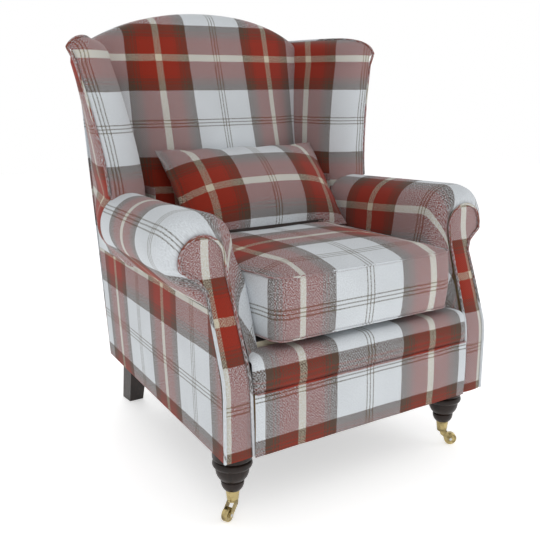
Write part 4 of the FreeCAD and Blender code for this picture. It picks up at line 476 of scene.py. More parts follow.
thick.thickness = 0.0015
thick.offset = -1
dress(inside_back, "chair", "check_cloth", check_cloth, "inside_back_cover", "back_pad")


# Wings: cloth from the crease round the padded front edge to the piping, and over the rounded top;
# the outside panel runs from the piping over the wing's shoulder to the rear corner and down to the arm.
WING_SHOULDER = 0.914
WING_RAKE = 0.146
WING_CLOTH_ZERO = 0.768
WING_SIDES = ((-1, "left", -0.006), (1, "right", 0.007))
RIDGE = np.array([(0.282, 0.334, 0.969), (0.318, 0.264, 0.972), (0.349, 0.208, 0.974), (0.372, 0.162, 0.974),
                  (0.394, 0.136, 0.971), (0.410, 0.121, 0.966), (0.426, 0.115, 0.956),
                  (0.435, 0.1145, 0.943)])


def wing_flare(z):
    """Growing outward curve: the 1.5th power of the height above the arm."""
    return (np.maximum(z - WING_FOOT, 0) / 0.302) ** 1.5


def wing_plan(z):
    """Plan of the inside wing at each height: crease, round inner corner, small outer corner, piping."""
    line = 0.071 + WING_RAKE * (z - WING_FOOT)
    front = line - 0.010
    inner = 0.269 + 0.071 * wing_flare(z)
    outer = 0.369 + 0.052 * wing_flare(z)
    corners = [(crease_x(z) - 0.004, crease_line(z)), (inner, front), (outer, front), (outer, line + 0.001)]
    width = outer - inner
    big = np.minimum(0.072, width - 0.0135)
    return rounded_path([np.stack(c, axis=-1) for c in corners], [big, np.minimum(0.0095, width * 0.2)],
                        [34, 22, 10, 8, 3])


def path_run(points):
    """Distance run from a path's start to each of its points."""
    return np.concatenate([[0], np.cumsum(np.linalg.norm(np.diff(points, axis=0), axis=1))])


def along(points, t):
    """Points at shares t of a path's own length."""
    run = path_run(points)
    return np.stack([np.interp(t * run[-1], run, points[:, k]) for k in range(3)], axis=-1)


def smooth_path(points, count, rounds=3):
    """A path whose corners are cut over and over, at a quarter and three quarters of each run."""
    for _ in range(rounds):
        near = points[:-1] * 0.75 + points[1:] * 0.25
        far = points[:-1] * 0.25 + points[1:] * 0.75
        points = np.concatenate([points[:1], np.stack([near, far], axis=1).reshape(-1, points.shape[1]),
                                 points[-1:]])
    return along(points, np.linspace(0, 1, count))


def domed(wall, ridge, rows=22):
    """Rows from the top row of a wall over to a ridge: a quarter of an ellipse for each column."""
    q = np.linspace(0, 1, rows + 1)[1:, None, None] * math.pi / 2
    start = wall[-1][None]
    flat = start + (ridge[None] - start) * (1 - np.cos(q))
    up = start[..., 2] + (ridge[None, :, 2] - start[..., 2]) * np.sin(q[..., 0])
    return np.concatenate([wall, np.concatenate([flat[..., :2], up[..., None]], axis=-1)])


def cover(name, points, uv, flip, *nodes):
    """A check cover of the chair's body from a grid."""
    made = surface(name, points, uv, flip=flip)
    dress(made, "chair", "check_cloth", check_cloth, *nodes)
    return made


def mirror(points, side):
    """Left-hand copy of right-hand points for side -1."""
    return points * np.array([side, 1, 1])


INNER_LEVELS = np.concatenate([np.linspace(0.572, 0.66, 12, endpoint=False),
                               np.linspace(0.66, WING_SHOULDER, 60)])
wing_wall = np.concatenate([wing_plan(INNER_LEVELS), np.repeat(INNER_LEVELS[:, None, None], 77, axis=1)],
                           axis=-1)
column_share = np.linspace(0, 1, wing_wall.shape[1])
ridge_share = np.interp(column_share, [0, 0.42, 0.70, 0.86, 1], [0.0, 0.42, 0.76, 0.93, 1])


def ridge_for(lift):
    """The wing top's ridge, raised a little towards its rear."""
    raised = (RIDGE + np.array([0, 0, 1])
              * np.array([lift, lift, lift, lift, lift * 0.7, lift * 0.4, lift * 0.2, 0])[:, None])
    return smooth_path(raised, 160)


def wing_cover(side, lift):
    """Inside wing for one side, with its place on the cloth measured from the piping inwards."""
    ridge = along(ridge_for(lift), ridge_share)
    points = domed(wing_wall, ridge)
    run = arc_length(points, 1)
    u = run[:, -1:] - run - 0.025
    v_wall = (points[..., 2] - WING_CLOTH_ZERO) * 1.09
    shoulder = len(INNER_LEVELS) - 1
    v_dome = v_wall[shoulder] + arc_length(points[shoulder:], 0) * 1.05
    v = np.concatenate([v_wall[:shoulder], v_dome])
    sag = 0.0012 * np.sin(v * 60 + u * 8) * np.exp(-((u - 0.02) / 0.03) ** 2)
    points[..., 1] += sag
    return points, np.stack([u, v], axis=-1)


for side, tag, lift in WING_SIDES:
    wing_points, wing_uv = wing_cover(side, lift)
    wing = cover(f"inside_wing_{tag}", mirror(wing_points, side), wing_uv, side < 0,
                 f"inside_wing_cover_{tag}", f"wing_pad_{tag}")


def roll_end_x(z):
    """Half-width of the arm roll's rear end: its circle down to the seam's tangent."""
    centre_x, centre_z, radius, low = 0.326, 0.558, 0.069, 0.0449
    on_circle = centre_x + np.sqrt(np.maximum(radius ** 2 - (z - centre_z) ** 2, 0))
    knee = centre_x + math.sqrt(radius ** 2 - low ** 2)
    seam = side_x(0.074, ARM_SEAM)
    share = np.clip((z - ARM_SEAM) / (centre_z - low - ARM_SEAM), 0, 1)
    below = seam + (knee - seam) * share
    return np.where(z > centre_z - low, np.maximum(on_circle, np.where(z > centre_z, 0.369, 0)), below)


def outside_wing(side, lift):
    """Outside wing: rows from the piping over a low swelling to the rear corner, domed over at the top."""
    z = np.concatenate([np.linspace(0.4515, WING_FOOT, 40, endpoint=False),
                        np.linspace(WING_FOOT, WING_SHOULDER, 50)])[:, None]
    t = np.linspace(0, 1, 46)[None] ** 1.25
    front_y = np.where(z < WING_FOOT, 0.0735, 0.073 + WING_RAKE * (z - WING_FOOT))
    y = front_y + (REAR_CORNER - front_y) * t
    front_x = np.where(z < WING_FOOT, roll_end_x(z), 0.3695 + 0.052 * wing_flare(z))
    rear_x = side_x(REAR_CORNER, z)
    away = (y - front_y - 0.022) / 0.030
    x = (front_x + (rear_x - front_x) * t + 0.006 * np.exp(-away ** 2)
         - 0.006 * np.exp(-(0.022 / 0.030) ** 2) * (1 - t) ** 6)
    x = x + (0.004 + 0.009 * smooth_step((z - 0.60) / 0.08)) * np.sin(math.pi * t ** 0.72)
    drop = 0.022 * smooth_step(t) * smooth_step((z - 0.80) / (WING_SHOULDER - 0.80))
    wall = np.stack([x, y, z - drop], axis=-1)
    ridge = along(ridge_for(lift), 1 - t[0] ** 0.85)
    rear_edge = smooth_step((t[0] - 0.82) / 0.18)[:, None]
    ridge = ridge * (1 - rear_edge) + np.array([0.284, REAR_CORNER, 0.967 + lift]) * rear_edge
    points = domed(wall, ridge, 18)
    run = arc_length(points, 1)
    v_wall = (points[:90, :, 2] - WING_CLOTH_ZERO) * 1.09
    v = np.concatenate([v_wall, v_wall[-1:] + arc_length(points[89:], 0)[1:] * 1.05])
    return points, np.stack([0.177 + (run - 0.062) * 0.80, v], axis=-1)


for side, tag, lift in WING_SIDES:
    outer_points, outer_uv = outside_wing(side, lift)
    outer = cover(f"outside_wing_{tag}", mirror(outer_points, side), outer_uv, side < 0,
                  f"outside_wing_cover_{tag}")


# Arms: cloth drawn from the seat over the padded roll to the seam under it, gathered in front round the
# scrolled facing; behind the roll it runs on beside the back, under the wing.
ARM_CLOTH_ZERO = -0.255


def arm_cover(puff, ahead):
    """Right arm: rows run back from the facing, columns from the seat over the roll to the outside seam.

    Each section is three tangent arcs between the inner face and the seam; the front rows grow from the
    scroll's size to the roll's on a quarter ellipse and their feet follow the facing's sweep.
    """
    behind = np.concatenate([ahead * (1 - np.cos(np.linspace(0, math.pi / 2, 16))),
                             np.linspace(ahead + 0.006, 0.385, 76)])
    swell = np.sqrt(1 - (1 - np.clip(behind / ahead, 0, 1)) ** 2)
    y = NECK_Y + behind
    run_back = np.clip((behind - 0.030) / 0.355, 0, 1)
    cx = 0.3565 + (0.372 - 0.3565) * swell - 0.046 * run_back
    cz = 0.541 + 0.024 * swell - 0.007 * run_back
    r = 0.049 + 0.019 * swell + 0.001 * run_back
    inner = arm_inner(y)
    lean_x = np.minimum(cx - r, inner - 0.002 + (1 - swell) * 0.03)
    r_in = np.minimum(r * 1.12, (cx + r - lean_x) - r - 0.0006)
    seam = side_x(y, ARM_SEAM)
    across, down = seam - cx, ARM_SEAM - cz
    angle = np.arctan2(down, across) + np.arccos(np.clip(r / np.hypot(across, down), -1, 1))
    under = cz + r * np.tan(angle / 2)
    low = np.full_like(y, 0.300)
    corners = [np.stack(c, axis=-1) for c in (
        (inner, low), (lean_x, cz + r), (cx + r, cz + r), (cx + r, under), (seam, np.full_like(y, ARM_SEAM)))]
    section = rounded_path(corners, [r_in, r - 0.0006, r - 0.0006], [46, 26, 3, 26, 3, 22, 14])
    x, z = section[..., 0], section[..., 1]
    run = arc_length(section, 1)
    edge_x = np.interp(z, [ARM_SEAM, 0.474, 0.484, 0.507, 0.5296], [0.3552, 0.3549, 0.3546, 0.3690, 0.4040])
    tuck = ((1 - smooth_step(behind / 0.026))[:, None] * (x > cx[:, None] - 0.01)
            * smooth_step((0.5296 - z) / 0.006))
    x = x + (edge_x - x) * tuck
    foot = (facing_y(z) - NECK_Y) * (1 - smooth_step(behind / 0.16))[:, None]
    depth = y[:, None] + foot
    reach = np.hypot(x - cx[:, None], z - cz[:, None])
    around = np.arctan2(z - cz[:, None], x - cx[:, None])
    near = np.exp(-((behind - 0.012) / 0.020) ** 2)[:, None] * smooth_step(behind / 0.012)[:, None]
    on_roll = smooth_step((z - 0.47) / 0.05)
    pleat = np.exp(-((around - 2.45) / 0.10) ** 2) + 0.7 * np.exp(-((around - 1.15) / 0.08) ** 2)
    fold = (0.0011 * np.sin(around * 7 + 1.3 * np.sin(around * 3)) - 0.0022 * pleat) * near * on_roll
    slack = 0.0010 * np.sin(depth * 46 + around * 2) * np.exp(-((around + 0.5) / 0.5) ** 2)
    grow = (fold + slack) / np.maximum(reach, 0.01)
    x = x + (x - cx[:, None]) * grow
    z = z + (z - cz[:, None]) * grow
    inner_side = smooth_step((cx[:, None] - 0.012 - x) / 0.05)
    swell_z = smooth_step((z - 0.305) / 0.05) * (1 - 0.62 * smooth_step((z - 0.47) / 0.10))
    swell_y = (smooth_step(behind / 0.030) * (1 - 0.75 * smooth_step((behind - 0.05) / 0.25)))[:, None]
    x = x - puff * inner_side * swell_z * swell_y
    points = np.stack([x, depth, z], axis=-1)
    zero = run[:, 75:76] + r[:, None] * math.radians(55)
    return points, np.stack([run - zero, (depth - ARM_CLOTH_ZERO) * 1.02], axis=-1), (cx[-1], cz[-1])


def closed_arm(puff, ahead):
    """The arm with one more row, drawn in to shut the roll's rear end."""
    points, uv, roll_end = arm_cover(puff, ahead)
    rows = np.concatenate([points, points[-1:] + [0, 0.0004, 0]])
    rows[-1, 46:, 0] = roll_end[0] + (rows[-1, 46:, 0] - roll_end[0]) * 0.35
    rows[-1, 46:, 2] = roll_end[1] + (rows[-1, 46:, 2] - roll_end[1]) * 0.35
    return rows, np.concatenate([uv, uv[-1:]])


beside_y = np.linspace(0.070, 0.262, 26)[:, None]
beside_z = np.linspace(0.300, 0.632, 60)[None]
beside_x = arm_inner(beside_y) - 0.0035 * smooth_step((beside_z - 0.30) / 0.2) + 0.001 * np.sin(beside_z * 30)
beside_points = spread(beside_x, beside_y, beside_z)
beside_uv = spread(0.2165 + 0.565 - beside_z, (beside_y - ARM_CLOTH_ZERO) * 1.02)
for side, tag, puff, ahead in ((-1, "left", 0.037, 0.036), (1, "right", 0.0235, 0.062)):
    arm_rows, arm_uv = closed_arm(puff, ahead)
    arm = cover(f"arm_{tag}", mirror(arm_rows, side), arm_uv, side > 0, f"inside_arm_cover_{tag}",
                f"arm_pad_{tag}")
    beside = cover(f"arm_beside_back_{tag}", mirror(beside_points, side), beside_uv, side > 0)


# Outside arms: one panel of the check a side, drawn flat over the open frame; it is back-tacked in
# the seam under the roll and tacked under the side rail.
COVER_FOOT = 0.1555
side_z = np.linspace(COVER_FOOT, 0.4535, 44)[:, None]
side_t = np.linspace(0, 1, 60)[None]
side_front = facing_y(side_z) + 0.0022
side_y = side_front + (REAR_CORNER - side_front) * side_t
puff = 0.0035 * np.sin(math.pi * side_t) * np.sin(math.pi * np.clip((side_z - 0.156) / 0.298, 0, 1)) ** 0.7
outside_points = spread(side_x(side_y, side_z) + puff, side_y, side_z)
outside_uv = spread((side_y - 0.062) * 1.12, (side_z - 0.278) * 1.02)
for side, tag in ((-1, "left"), (1, "right")):
    panel = cover(f"outside_arm_{tag}", mirror(outside_points, side), outside_uv, side < 0,
                  f"outside_arm_cover_{tag}")


# Arm facings: a board padded and covered in the check, scrolled at the top like the arm's end; it
# closes the front of the arm inside its piping and is fixed to the stump.
SCROLL = (0.3565, 0.541)
NECK = (0.3675, 0.507)


def facing_edges(grow, count):
    """Inner and outer edges of the facing from its foot to the scroll's top, each as count points (x, z)."""
    inner_low = 0.2938 - grow
    outer_low = side_x(FOOT_Y, 0.160) - 0.0018 + grow
    outer_high = side_x(NECK_Y, 0.478) - 0.0018 + grow
    radius = 0.047 + grow
    turn = np.radians(np.linspace(180, 90, 40))
    left = np.concatenate([np.array([[inner_low, COVER_FOOT]]), np.stack(
        [SCROLL[0] + radius * np.cos(turn), SCROLL[1] + radius * np.sin(turn)], axis=-1)])
    turn = np.radians(np.linspace(-14, 90, 40))
    neck = np.array([(outer_low, COVER_FOOT), (outer_high + 0.001, 0.440),
                     (outer_high, 0.474), (outer_high - 0.0005, 0.484),
                     (NECK[0] + grow * 0.6, NECK[1] - grow * 0.8)])
    right = np.concatenate([neck, np.stack(
        [SCROLL[0] + radius * np.cos(turn), SCROLL[1] + radius * np.sin(turn)], axis=-1)])
    flat = [np.stack([p[:, 0], np.zeros(len(p)), p[:, 1]], axis=-1) for p in (left, right)]
    share = np.linspace(0, 1, count)
    return [along(p, share)[:, [0, 2]] for p in flat]


def facing_panel():
    """Right facing: rows join equal shares of the two edges; it swells forwards by a low cushion shape."""
    left, right = facing_edges(0.0024, 150)
    t = np.linspace(0, 1, 26)[None, :, None]
    flat = left[:, None] + (right - left)[:, None] * t
    x, z = flat[..., 0], flat[..., 1]
    width = np.linalg.norm(right - left, axis=1)[:, None]
    crown = 0.0045 * (4 * t[..., 0] * (1 - t[..., 0])) ** 0.6 * np.clip(width / 0.05, 0, 1)
    y = facing_y(z) - 0.0008 - crown
    levels = np.linspace(0.15, 0.60, 200)
    run = path_run(np.stack([levels, facing_y(levels)], axis=-1))
    slope_run = np.interp(z, levels, run)
    start = np.interp(0.262, levels, run)
    points = np.stack([x, y, z], axis=-1)
    return points, np.stack([(x - 0.352) * 1.05 - 0.177, (slope_run - start) * 1.03], axis=-1)


facing_points, facing_uv = facing_panel()
for side, tag in ((-1, "left"), (1, "right")):
    face = cover(f"facing_{tag}", mirror(facing_points, side), facing_uv, side < 0, f"arm_facing_{tag}")


# Front border: a flat strip of the check under the padded lip, sewn to it on a welt and tacked under
# the front rail.
FRONT_HALF = 0.2928
FRONT_SCALE = 0.983
LIP_SEAM = 0.2862
border_x = crowded(110, 1)[None] * FRONT_HALF
border_z = np.linspace(COVER_FOOT, 0.2865, 24)[:, None]
border_y = (-0.3975 - 0.0022 * np.sin(math.pi * (border_z - COVER_FOOT) / 0.131) ** 0.8
            + 0.0004 * np.sin(border_x * 55))
border_points = spread(border_x, border_y, border_z)
border_uv = spread(border_x * FRONT_SCALE, border_z - 0.278)
border = cover("front_border", border_points, border_uv, False, "front_border_cover")

# Padded lip: the front edge of the seat under the cushion, firm foam rolled over the front rail in
# the check; its ends are turned in beside the facings.
lip_path = rounded_path([np.array(c) for c in (
    (-0.3965, LIP_SEAM), (-0.4015, 0.2960), (-0.4025, 0.3200), (-0.3925, 0.3585), (-0.337, 0.3585),
    (-0.330, 0.340))],
    [np.array(0.010), np.array(0.034), np.array(0.024), np.array(0.008)], [4, 8, 6, 10, 6, 14, 16, 8, 5])
lip_x = crowded(110, 1) * FRONT_HALF
lip_run = path_run(lip_path)
end_turn = np.sqrt(np.maximum(1 - np.clip((np.abs(lip_x) - 0.276) / 0.0169, 0, 1) ** 2, 0))[None]
lip_y = lip_path[:, None, 0] + 0.0006 * np.sin(lip_x[None] * 42 + lip_run[:, None] * 30)
lip_y = np.where(lip_y < -0.386, -0.386 + (lip_y + 0.386) * end_turn, lip_y)
lip_z = lip_path[:, None, 1] - 0.010 * (1 - end_turn) * smooth_step((lip_path[:, None, 1] - 0.32) / 0.03)
lip_points = spread(lip_x[None], lip_y, lip_z)
lip_v = -0.0885 + (lip_run[:, None] - 0.050) * np.where(lip_run[:, None] < 0.050, 0.72, 1.0)
lip_uv = spread(lip_x[None] * FRONT_SCALE, lip_v)
lip = cover("seat_lip", lip_points, lip_uv, False, "seat_lip_cover", "seat_lip_roll")


def tube(name, path, radius, guide, lay, sides=12):
    """A round tube of circles square to the path; lay is the cloth's place at its start or at every point."""
    way = np.gradient(path, axis=0)
    way /= np.linalg.norm(way, axis=1, keepdims=True)
    first = np.cross(way, guide)
    first /= np.linalg.norm(first, axis=1, keepdims=True)
    second = np.cross(way, first)
    turn = np.linspace(0, 2 * math.pi, sides + 1)
    size = np.full(len(path), radius)
    size[0] = size[-1] = radius * 0.02
    ring = ((first[:, None] * np.cos(turn)[None, :, None] + second[:, None] * np.sin(turn)[None, :, None])
            * size[:, None, None])
    run = path_run(path)
    around = turn / (2 * math.pi) * 0.02
    lay = np.asarray(lay, dtype=float)
    if lay.ndim == 1:
        lay = lay + np.stack([run * 0.31, run * 0.12], axis=-1)
    uv = np.stack([lay[:, :1] + around[None] * 0.6, lay[:, 1:] - around[None]], axis=-1)
    return welded([surface(name + "_form", path[:, None] + ring, uv)], name)


piping_cloth = cloth_material("piping_cloth", check_weave_group("piping_weave", 0.0030, 0.12), depth=0.3)
CORD_RADIUS = 0.0033
left_edge, right_edge = facing_edges(0.0024, 220)
edge_loop = np.concatenate([left_edge, right_edge[::-1][1:]])
cord_path = np.stack([edge_loop[:, 0], facing_y(edge_loop[:, 1]) - 0.0042, edge_loop[:, 1]], axis=-1)
cord_path = smooth_path(cord_path, 420, 1)
for side, tag, start in ((-1, "left", (0.045, -0.045)), (1, "right", (0.025, -0.050))):
    cord = tube(f"facing_cord_{tag}", mirror(cord_path, side), CORD_RADIUS, np.array([0.0, 1.0, 0.0]), start)
    dress(cord, "chair", "piping_cloth", piping_cloth, f"facing_piping_{tag}")
welt_x = np.linspace(-0.2912, 0.2912, 150)
welt_path = np.stack([welt_x, np.full_like(welt_x, -0.3995), LIP_SEAM + 0.0004 * np.sin(welt_x * 60)],
                     axis=-1)
welt_lay = np.stack([welt_x * FRONT_SCALE, np.full_like(welt_x, -0.128)], axis=-1)
lip_welt = tube("lip_welt", welt_path, 0.0021, np.array([0.0, 1.0, 0.0]), welt_lay)
dress(lip_welt, "chair", "piping_cloth", piping_cloth)
cords = []
for side, tag, lift in WING_SIDES:
    z = np.linspace(0.622, WING_SHOULDER, 60)
    up = np.stack([0.3722 + 0.052 * wing_flare(z), 0.0678 + WING_RAKE * (z - WING_FOOT), z], axis=-1)
    over = ridge_for(lift)[::-1] + np.array([0.0006, -0.0012, 0.0016])
    path = mirror(smooth_path(np.concatenate([up, over]), 260, 2), side)
    cords.append(tube(f"wing_cord_{tag}", path, CORD_RADIUS, np.array([side * 0.7, 0.7, 0.0]),
                      (0.105, -0.030)))
wing_cord = welded(cords, "wing_cords")
dress(wing_cord, "chair", "piping_cloth", piping_cloth, "wing_piping")


# Outside back: one flat panel of the check from the base to the arched top, drawn over the back
# posts and slip-stitched down both sides.
panel_share = np.linspace(-1, 1, 121)[None]
panel_t = np.linspace(0, 1, 90)[:, None]
edge_low = side_x(0.342, 0.156)
edge_high = 0.3185
half_wide = edge_low + (edge_high - edge_low) * np.clip(panel_t * 1.1, 0, 1)
panel_x = panel_share * half_wide
top_x = np.abs(panel_share) * edge_high
arch = crest(np.minimum(top_x, 0.283)) - 0.004
shoulder = 0.964 - 0.072 * np.clip((top_x - 0.296) / (edge_high - 0.296), 0, 1) ** 2
step_in = smooth_step((top_x - 0.278) / 0.018)
panel_top = arch * (1 - step_in) + np.minimum(arch, shoulder) * step_in
panel_z = COVER_FOOT + (panel_top - COVER_FOOT) * panel_t
panel_y = 0.3425 + 0.0022 * np.sin(math.pi * panel_t) * (1 - panel_share ** 2)
panel_points = spread(panel_x, panel_y, panel_z)
panel_uv = spread(panel_x * 1.02, (panel_z - BACK_CLOTH_ZERO) * 1.02)
back_sheet = cover("outside_back", panel_points, panel_uv, True, "outside_back_cover")


# Seat deck and dust cover: plain dark platform cloth over the sprung padding, seen only with the
# cushion lifted, and black bonded cloth under the frame; both stay the frame's own pieces.
def plain_cloth_group(name, colour, pitch, speckle):
    """Shader group of a plain weave: over-and-under threads at a pitch, in one colour with a speckle."""
    tree, given, result = weave_tree(name)
    threads = put(tree, "ShaderNodeTexChecker", {"Vector": given, "Scale": 1 / pitch})
    grain = noise(tree, given, 0.35 / pitch, 3.0)
    tone = remap(tree, grain, 0.3, 0.7, 1 - speckle, 1 + speckle)
    lifted = calc(tree, "MULTIPLY_ADD", threads.outputs["Fac"], speckle, tone)
    shade = put(tree, "ShaderNodeVectorMath", {0: colour, "Scale": lifted}, operation="SCALE")
    tree.links.new(shade.outputs[0], result.inputs[0])
    tree.links.new(threads.outputs["Fac"], result.inputs[1])
    tree.links.new(grain, result.inputs[2])
    return tree


def on_object(material):
    """Let a cloth material read Object coordinates, for pieces without a cloth map."""
    tree = material.node_tree
    spot = tree.nodes["UV Map"]
    place = put(tree, "ShaderNodeTexCoord").outputs["Object"]
    for wire in list(spot.outputs[0].links):
        tree.links.new(place, wire.to_socket)
    tree.nodes.remove(spot)
    return material


def repaint(material, *nodes):
    """Give carried-over CAD nodes a procedural material."""
    for name in nodes:
        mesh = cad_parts[name].data
        mesh.materials.clear()
        mesh.materials.append(material)


platform_weave = plain_cloth_group("platform_weave", (0.045, 0.034, 0.030), 0.0009, 0.22)
platform_cloth = on_object(cloth_material("platform_cloth", platform_weave))
repaint(platform_cloth, "deck_cloth")
bonded_weave = plain_cloth_group("bonded_weave", (0.012, 0.012, 0.013), 0.0024, 0.3)
bonded_cloth = on_object(cloth_material("bonded_cloth", bonded_weave))
repaint(bonded_cloth, "dust_cover")


# Seat cushion: two panels of the check with a boxed border between them, over a firm filling; crowned,
# its front corners rounded and drawn in at the seams, and lying loose on the deck.
def ring_square(half_x, half_y, corner, count):
    """Grid over a rounded rectangle: square rings whose corners are turned into arcs, (count, count, 2)."""
    line = crowded(count, 0.45)
    s, t = np.meshgrid(line, line, indexing="ij")
    m = np.maximum(np.maximum(np.abs(s), np.abs(t)), 1e-6)
    x, y = s * half_x, t * half_y
    turn = corner * m ** 2
    cx, cy = np.maximum(m * half_x - turn, 0), np.maximum(m * half_y - turn, 0)
    dx, dy = np.abs(x) - cx, np.abs(y) - cy
    inside = (dx > 0) & (dy > 0)
    long = np.maximum(np.hypot(dx, dy), 1e-9)
    most = np.maximum(dx, dy)
    fit = np.where(inside, most / long, 1.0)
    x = np.where(inside, np.sign(x) * (cx + dx * fit), x)
    y = np.where(inside, np.sign(y) * (cy + dy * fit), y)
    return np.stack([x, y], axis=-1), m


def rim(grid):
    """The boundary of a square grid as one loop, starting at the first corner."""
    return np.concatenate([grid[:-1, 0], grid[-1, :-1], grid[:0:-1, -1], grid[0, :0:-1]])


def points_of(mesh):
    """A mesh's vertices as rows of x, y, z."""
    flat = np.empty(len(mesh.vertices) * 3)
    mesh.vertices.foreach_get("co", flat)
    return flat.reshape(-1, 3)


def set_points(piece, points):
    """Move a piece's vertices, and give it one level of subdivision."""
    piece.data.vertices.foreach_set("co", points.ravel())
    piece.data.update()
    finer = piece.modifiers.new("fine", "SUBSURF")
    finer.levels = finer.render_levels = 1


def inflate(piece, cap, held_share, pressure=4.0, frames=20):
    """Vertices of a closed cloth shell blown up with the cloth solver, each kept within cap of its start."""
    start = points_of(piece.data)
    puff = piece.modifiers.new("puff", "CLOTH")
    how = puff.settings
    how.quality = 6
    how.mass = 0.25
    how.tension_stiffness = 12
    how.compression_stiffness = 8
    how.shear_stiffness = 4
    how.bending_stiffness = 0.35
    how.use_pressure = True
    how.uniform_pressure_force = pressure
    how.effector_weights.gravity = 0
    group = piece.vertex_groups.new(name="held")
    for level in np.unique(np.round(held_share, 2)):
        if level > 0:
            group.add(np.nonzero(np.round(held_share, 2) == level)[0].tolist(), float(level), "REPLACE")
    how.vertex_group_mass = "held"
    how.pin_stiffness = 1.0
    puff.point_cache.frame_start = 1
    puff.point_cache.frame_end = frames
    for number in range(1, frames + 1):
        scene.frame_set(number)
    view = bpy.context.evaluated_depsgraph_get()
    move = points_of(piece.evaluated_get(view).data) - start
    piece.modifiers.remove(puff)
    scene.frame_set(1)
    far = np.linalg.norm(move, axis=1, keepdims=True)
    move *= cap * np.tanh(far / cap) / np.maximum(far, 1e-9)
    return start + move


def stitch_line(name, path, away, step=0.0052, long=0.0032, thick=0.00032):
    """Short sewn stitches along a closed path, each a six-sided tapered thread lying on the cloth."""
    loop = np.concatenate([path, path[:1]])
    run = path_run(loop)
    count = int(run[-1] / step)
    at = np.arange(count)[:, None] * (run[-1] / count) + np.linspace(0, long, 4)[None]
    spots = np.stack([np.interp(at, run, loop[:, k]) for k in range(3)], axis=-1)
    lift = np.concatenate([away, away[:1]])
    out = np.stack([np.interp(at, run, lift[:, k]) for k in range(3)], axis=-1)
    out /= np.linalg.norm(out, axis=-1, keepdims=True)
    way = spots[:, -1:] - spots[:, :1]
    way /= np.linalg.norm(way, axis=-1, keepdims=True)
    across = np.cross(way, out)
    turn = np.linspace(0, 2 * math.pi, 6, endpoint=False)
    width = thick * np.array([0.25, 1, 1, 0.25])[None, :, None, None]
    ring = (across[:, :, None] * np.cos(turn)[None, None, :, None]
            + out[:, :, None] * np.sin(turn)[None, None, :, None]) * width
    points = spots[:, :, None] + ring + out[:, :, None] * thick * 0.5
    faces = grid_faces(4, 6, closed=True)
    faces = (faces[None] + np.arange(count)[:, None, None] * 24).reshape(-1, 4)
    mesh = bpy.data.meshes.new(name)
    mesh.from_pydata(points.reshape(-1, 3).tolist(), [], faces.tolist())
    mesh.polygons.foreach_set("use_smooth", np.ones(len(faces), dtype=bool))
    return link(name, mesh)


def thread_material(name, colour):
    """Twisted sewing thread: a fine diagonal ply in one colour."""
    made, tree, shader = new_material(name)
    place = put(tree, "ShaderNodeTexCoord").outputs["Object"]
    ply = noise(tree, place, 2400.0, 1.0)
    tone = colour_mix(tree, ply, (*[c * 0.75 for c in colour], 1), (*colour, 1))
    tree.links.new(tone, shader.inputs["Base Color"])
    shader.inputs["Roughness"].default_value = 0.75
    return made


# Seam thread: real stitches, but their dark colour is partly painted shade that draws a darker line along the
# cushion's seams.
seam_shade_thread = thread_material("seam_shade_thread", (0.34, 0.24, 0.23))


SEAT_MIDDLE = np.array([-0.007, (-0.393 + 0.068) / 2])
SEAT_EDGE_LOW, SEAT_EDGE_HIGH = 0.3785, 0.5045
SEAT_HALF = np.array([0.2475, 0.2290])
SEAT_CORNER, SEAT_GRID = 0.030, 84


def seat_shell():
    """Top grid, bottom grid and boxing rows welded into one shell, with the cloth's place on each."""
    plan, m = ring_square(*SEAT_HALF, SEAT_CORNER, SEAT_GRID)
    spot = plan + SEAT_MIDDLE
    edge = smooth_step((1 - m) / 0.16)
    high = SEAT_EDGE_HIGH + 0.0125 * edge + 0.005 * (1 - m ** 2)
    low = SEAT_EDGE_LOW - 0.0075 * edge
    top = np.concatenate([spot, high[..., None]], axis=-1)
    bottom = np.concatenate([spot, low[..., None]], axis=-1)
    top_uv = np.stack([spot[..., 0] * FRONT_SCALE, (spot[..., 1] + 0.328) * 1.12], axis=-1)
    low_uv = np.stack([spot[..., 0] * FRONT_SCALE, (spot[..., 1] + 0.328) * 1.02 + 0.05], axis=-1)
    loop = rim(plan)
    inward = -loop / np.linalg.norm(loop, axis=1, keepdims=True)
    up = np.linspace(0, 1, 23)[:, None]
    fat = 0.0055 * np.sin(math.pi * up)
    ring = loop[None] - inward[None] * fat[..., None]
    rows = spread(ring[..., 0] + SEAT_MIDDLE[0], ring[..., 1] + SEAT_MIDDLE[1],
                                        SEAT_EDGE_LOW + (SEAT_EDGE_HIGH - SEAT_EDGE_LOW) * up)
    rows = np.concatenate([rows, rows[:, :1]], axis=1)
    run = path_run(np.concatenate([loop, loop[:1]]))
    front = np.argmin(np.abs(loop[:, 0]) + (loop[:, 1] > -0.22) * 9)
    away = run - run[front]
    away = (away + run[-1] / 2) % run[-1] - run[-1] / 2
    way = 1 if loop[(front + 1) % len(loop), 0] > loop[front, 0] else -1
    rows_uv = spread(SEAT_MIDDLE[0] + way * away[None], rows[..., 2] - 0.433)
    rows_uv[..., 0] = rows_uv[..., 0] * FRONT_SCALE
    jump = np.abs(np.diff(rows_uv[0, :, 0])) > 0.5
    cut = int(np.nonzero(jump)[0][0]) if jump.any() else len(run) - 1
    pieces = [surface("seat_top", top, top_uv), surface("seat_bottom", bottom, low_uv, flip=True),
              surface("seat_boxing_a", rows[:, :cut + 1], rows_uv[:, :cut + 1])]
    if cut + 1 < len(run):
        pieces.append(surface("seat_boxing_b", rows[:, cut + 1:], rows_uv[:, cut + 1:]))
        bridge_uv = rows_uv[:, cut:cut + 2].copy()
        bridge_uv[:, 1, 0] = bridge_uv[:, 0, 0] + way * FRONT_SCALE * (run[cut + 1] - run[cut])
        pieces.append(surface("seat_boxing_c", rows[:, cut:cut + 2], bridge_uv))
    return welded(pieces, "seat_cushion")


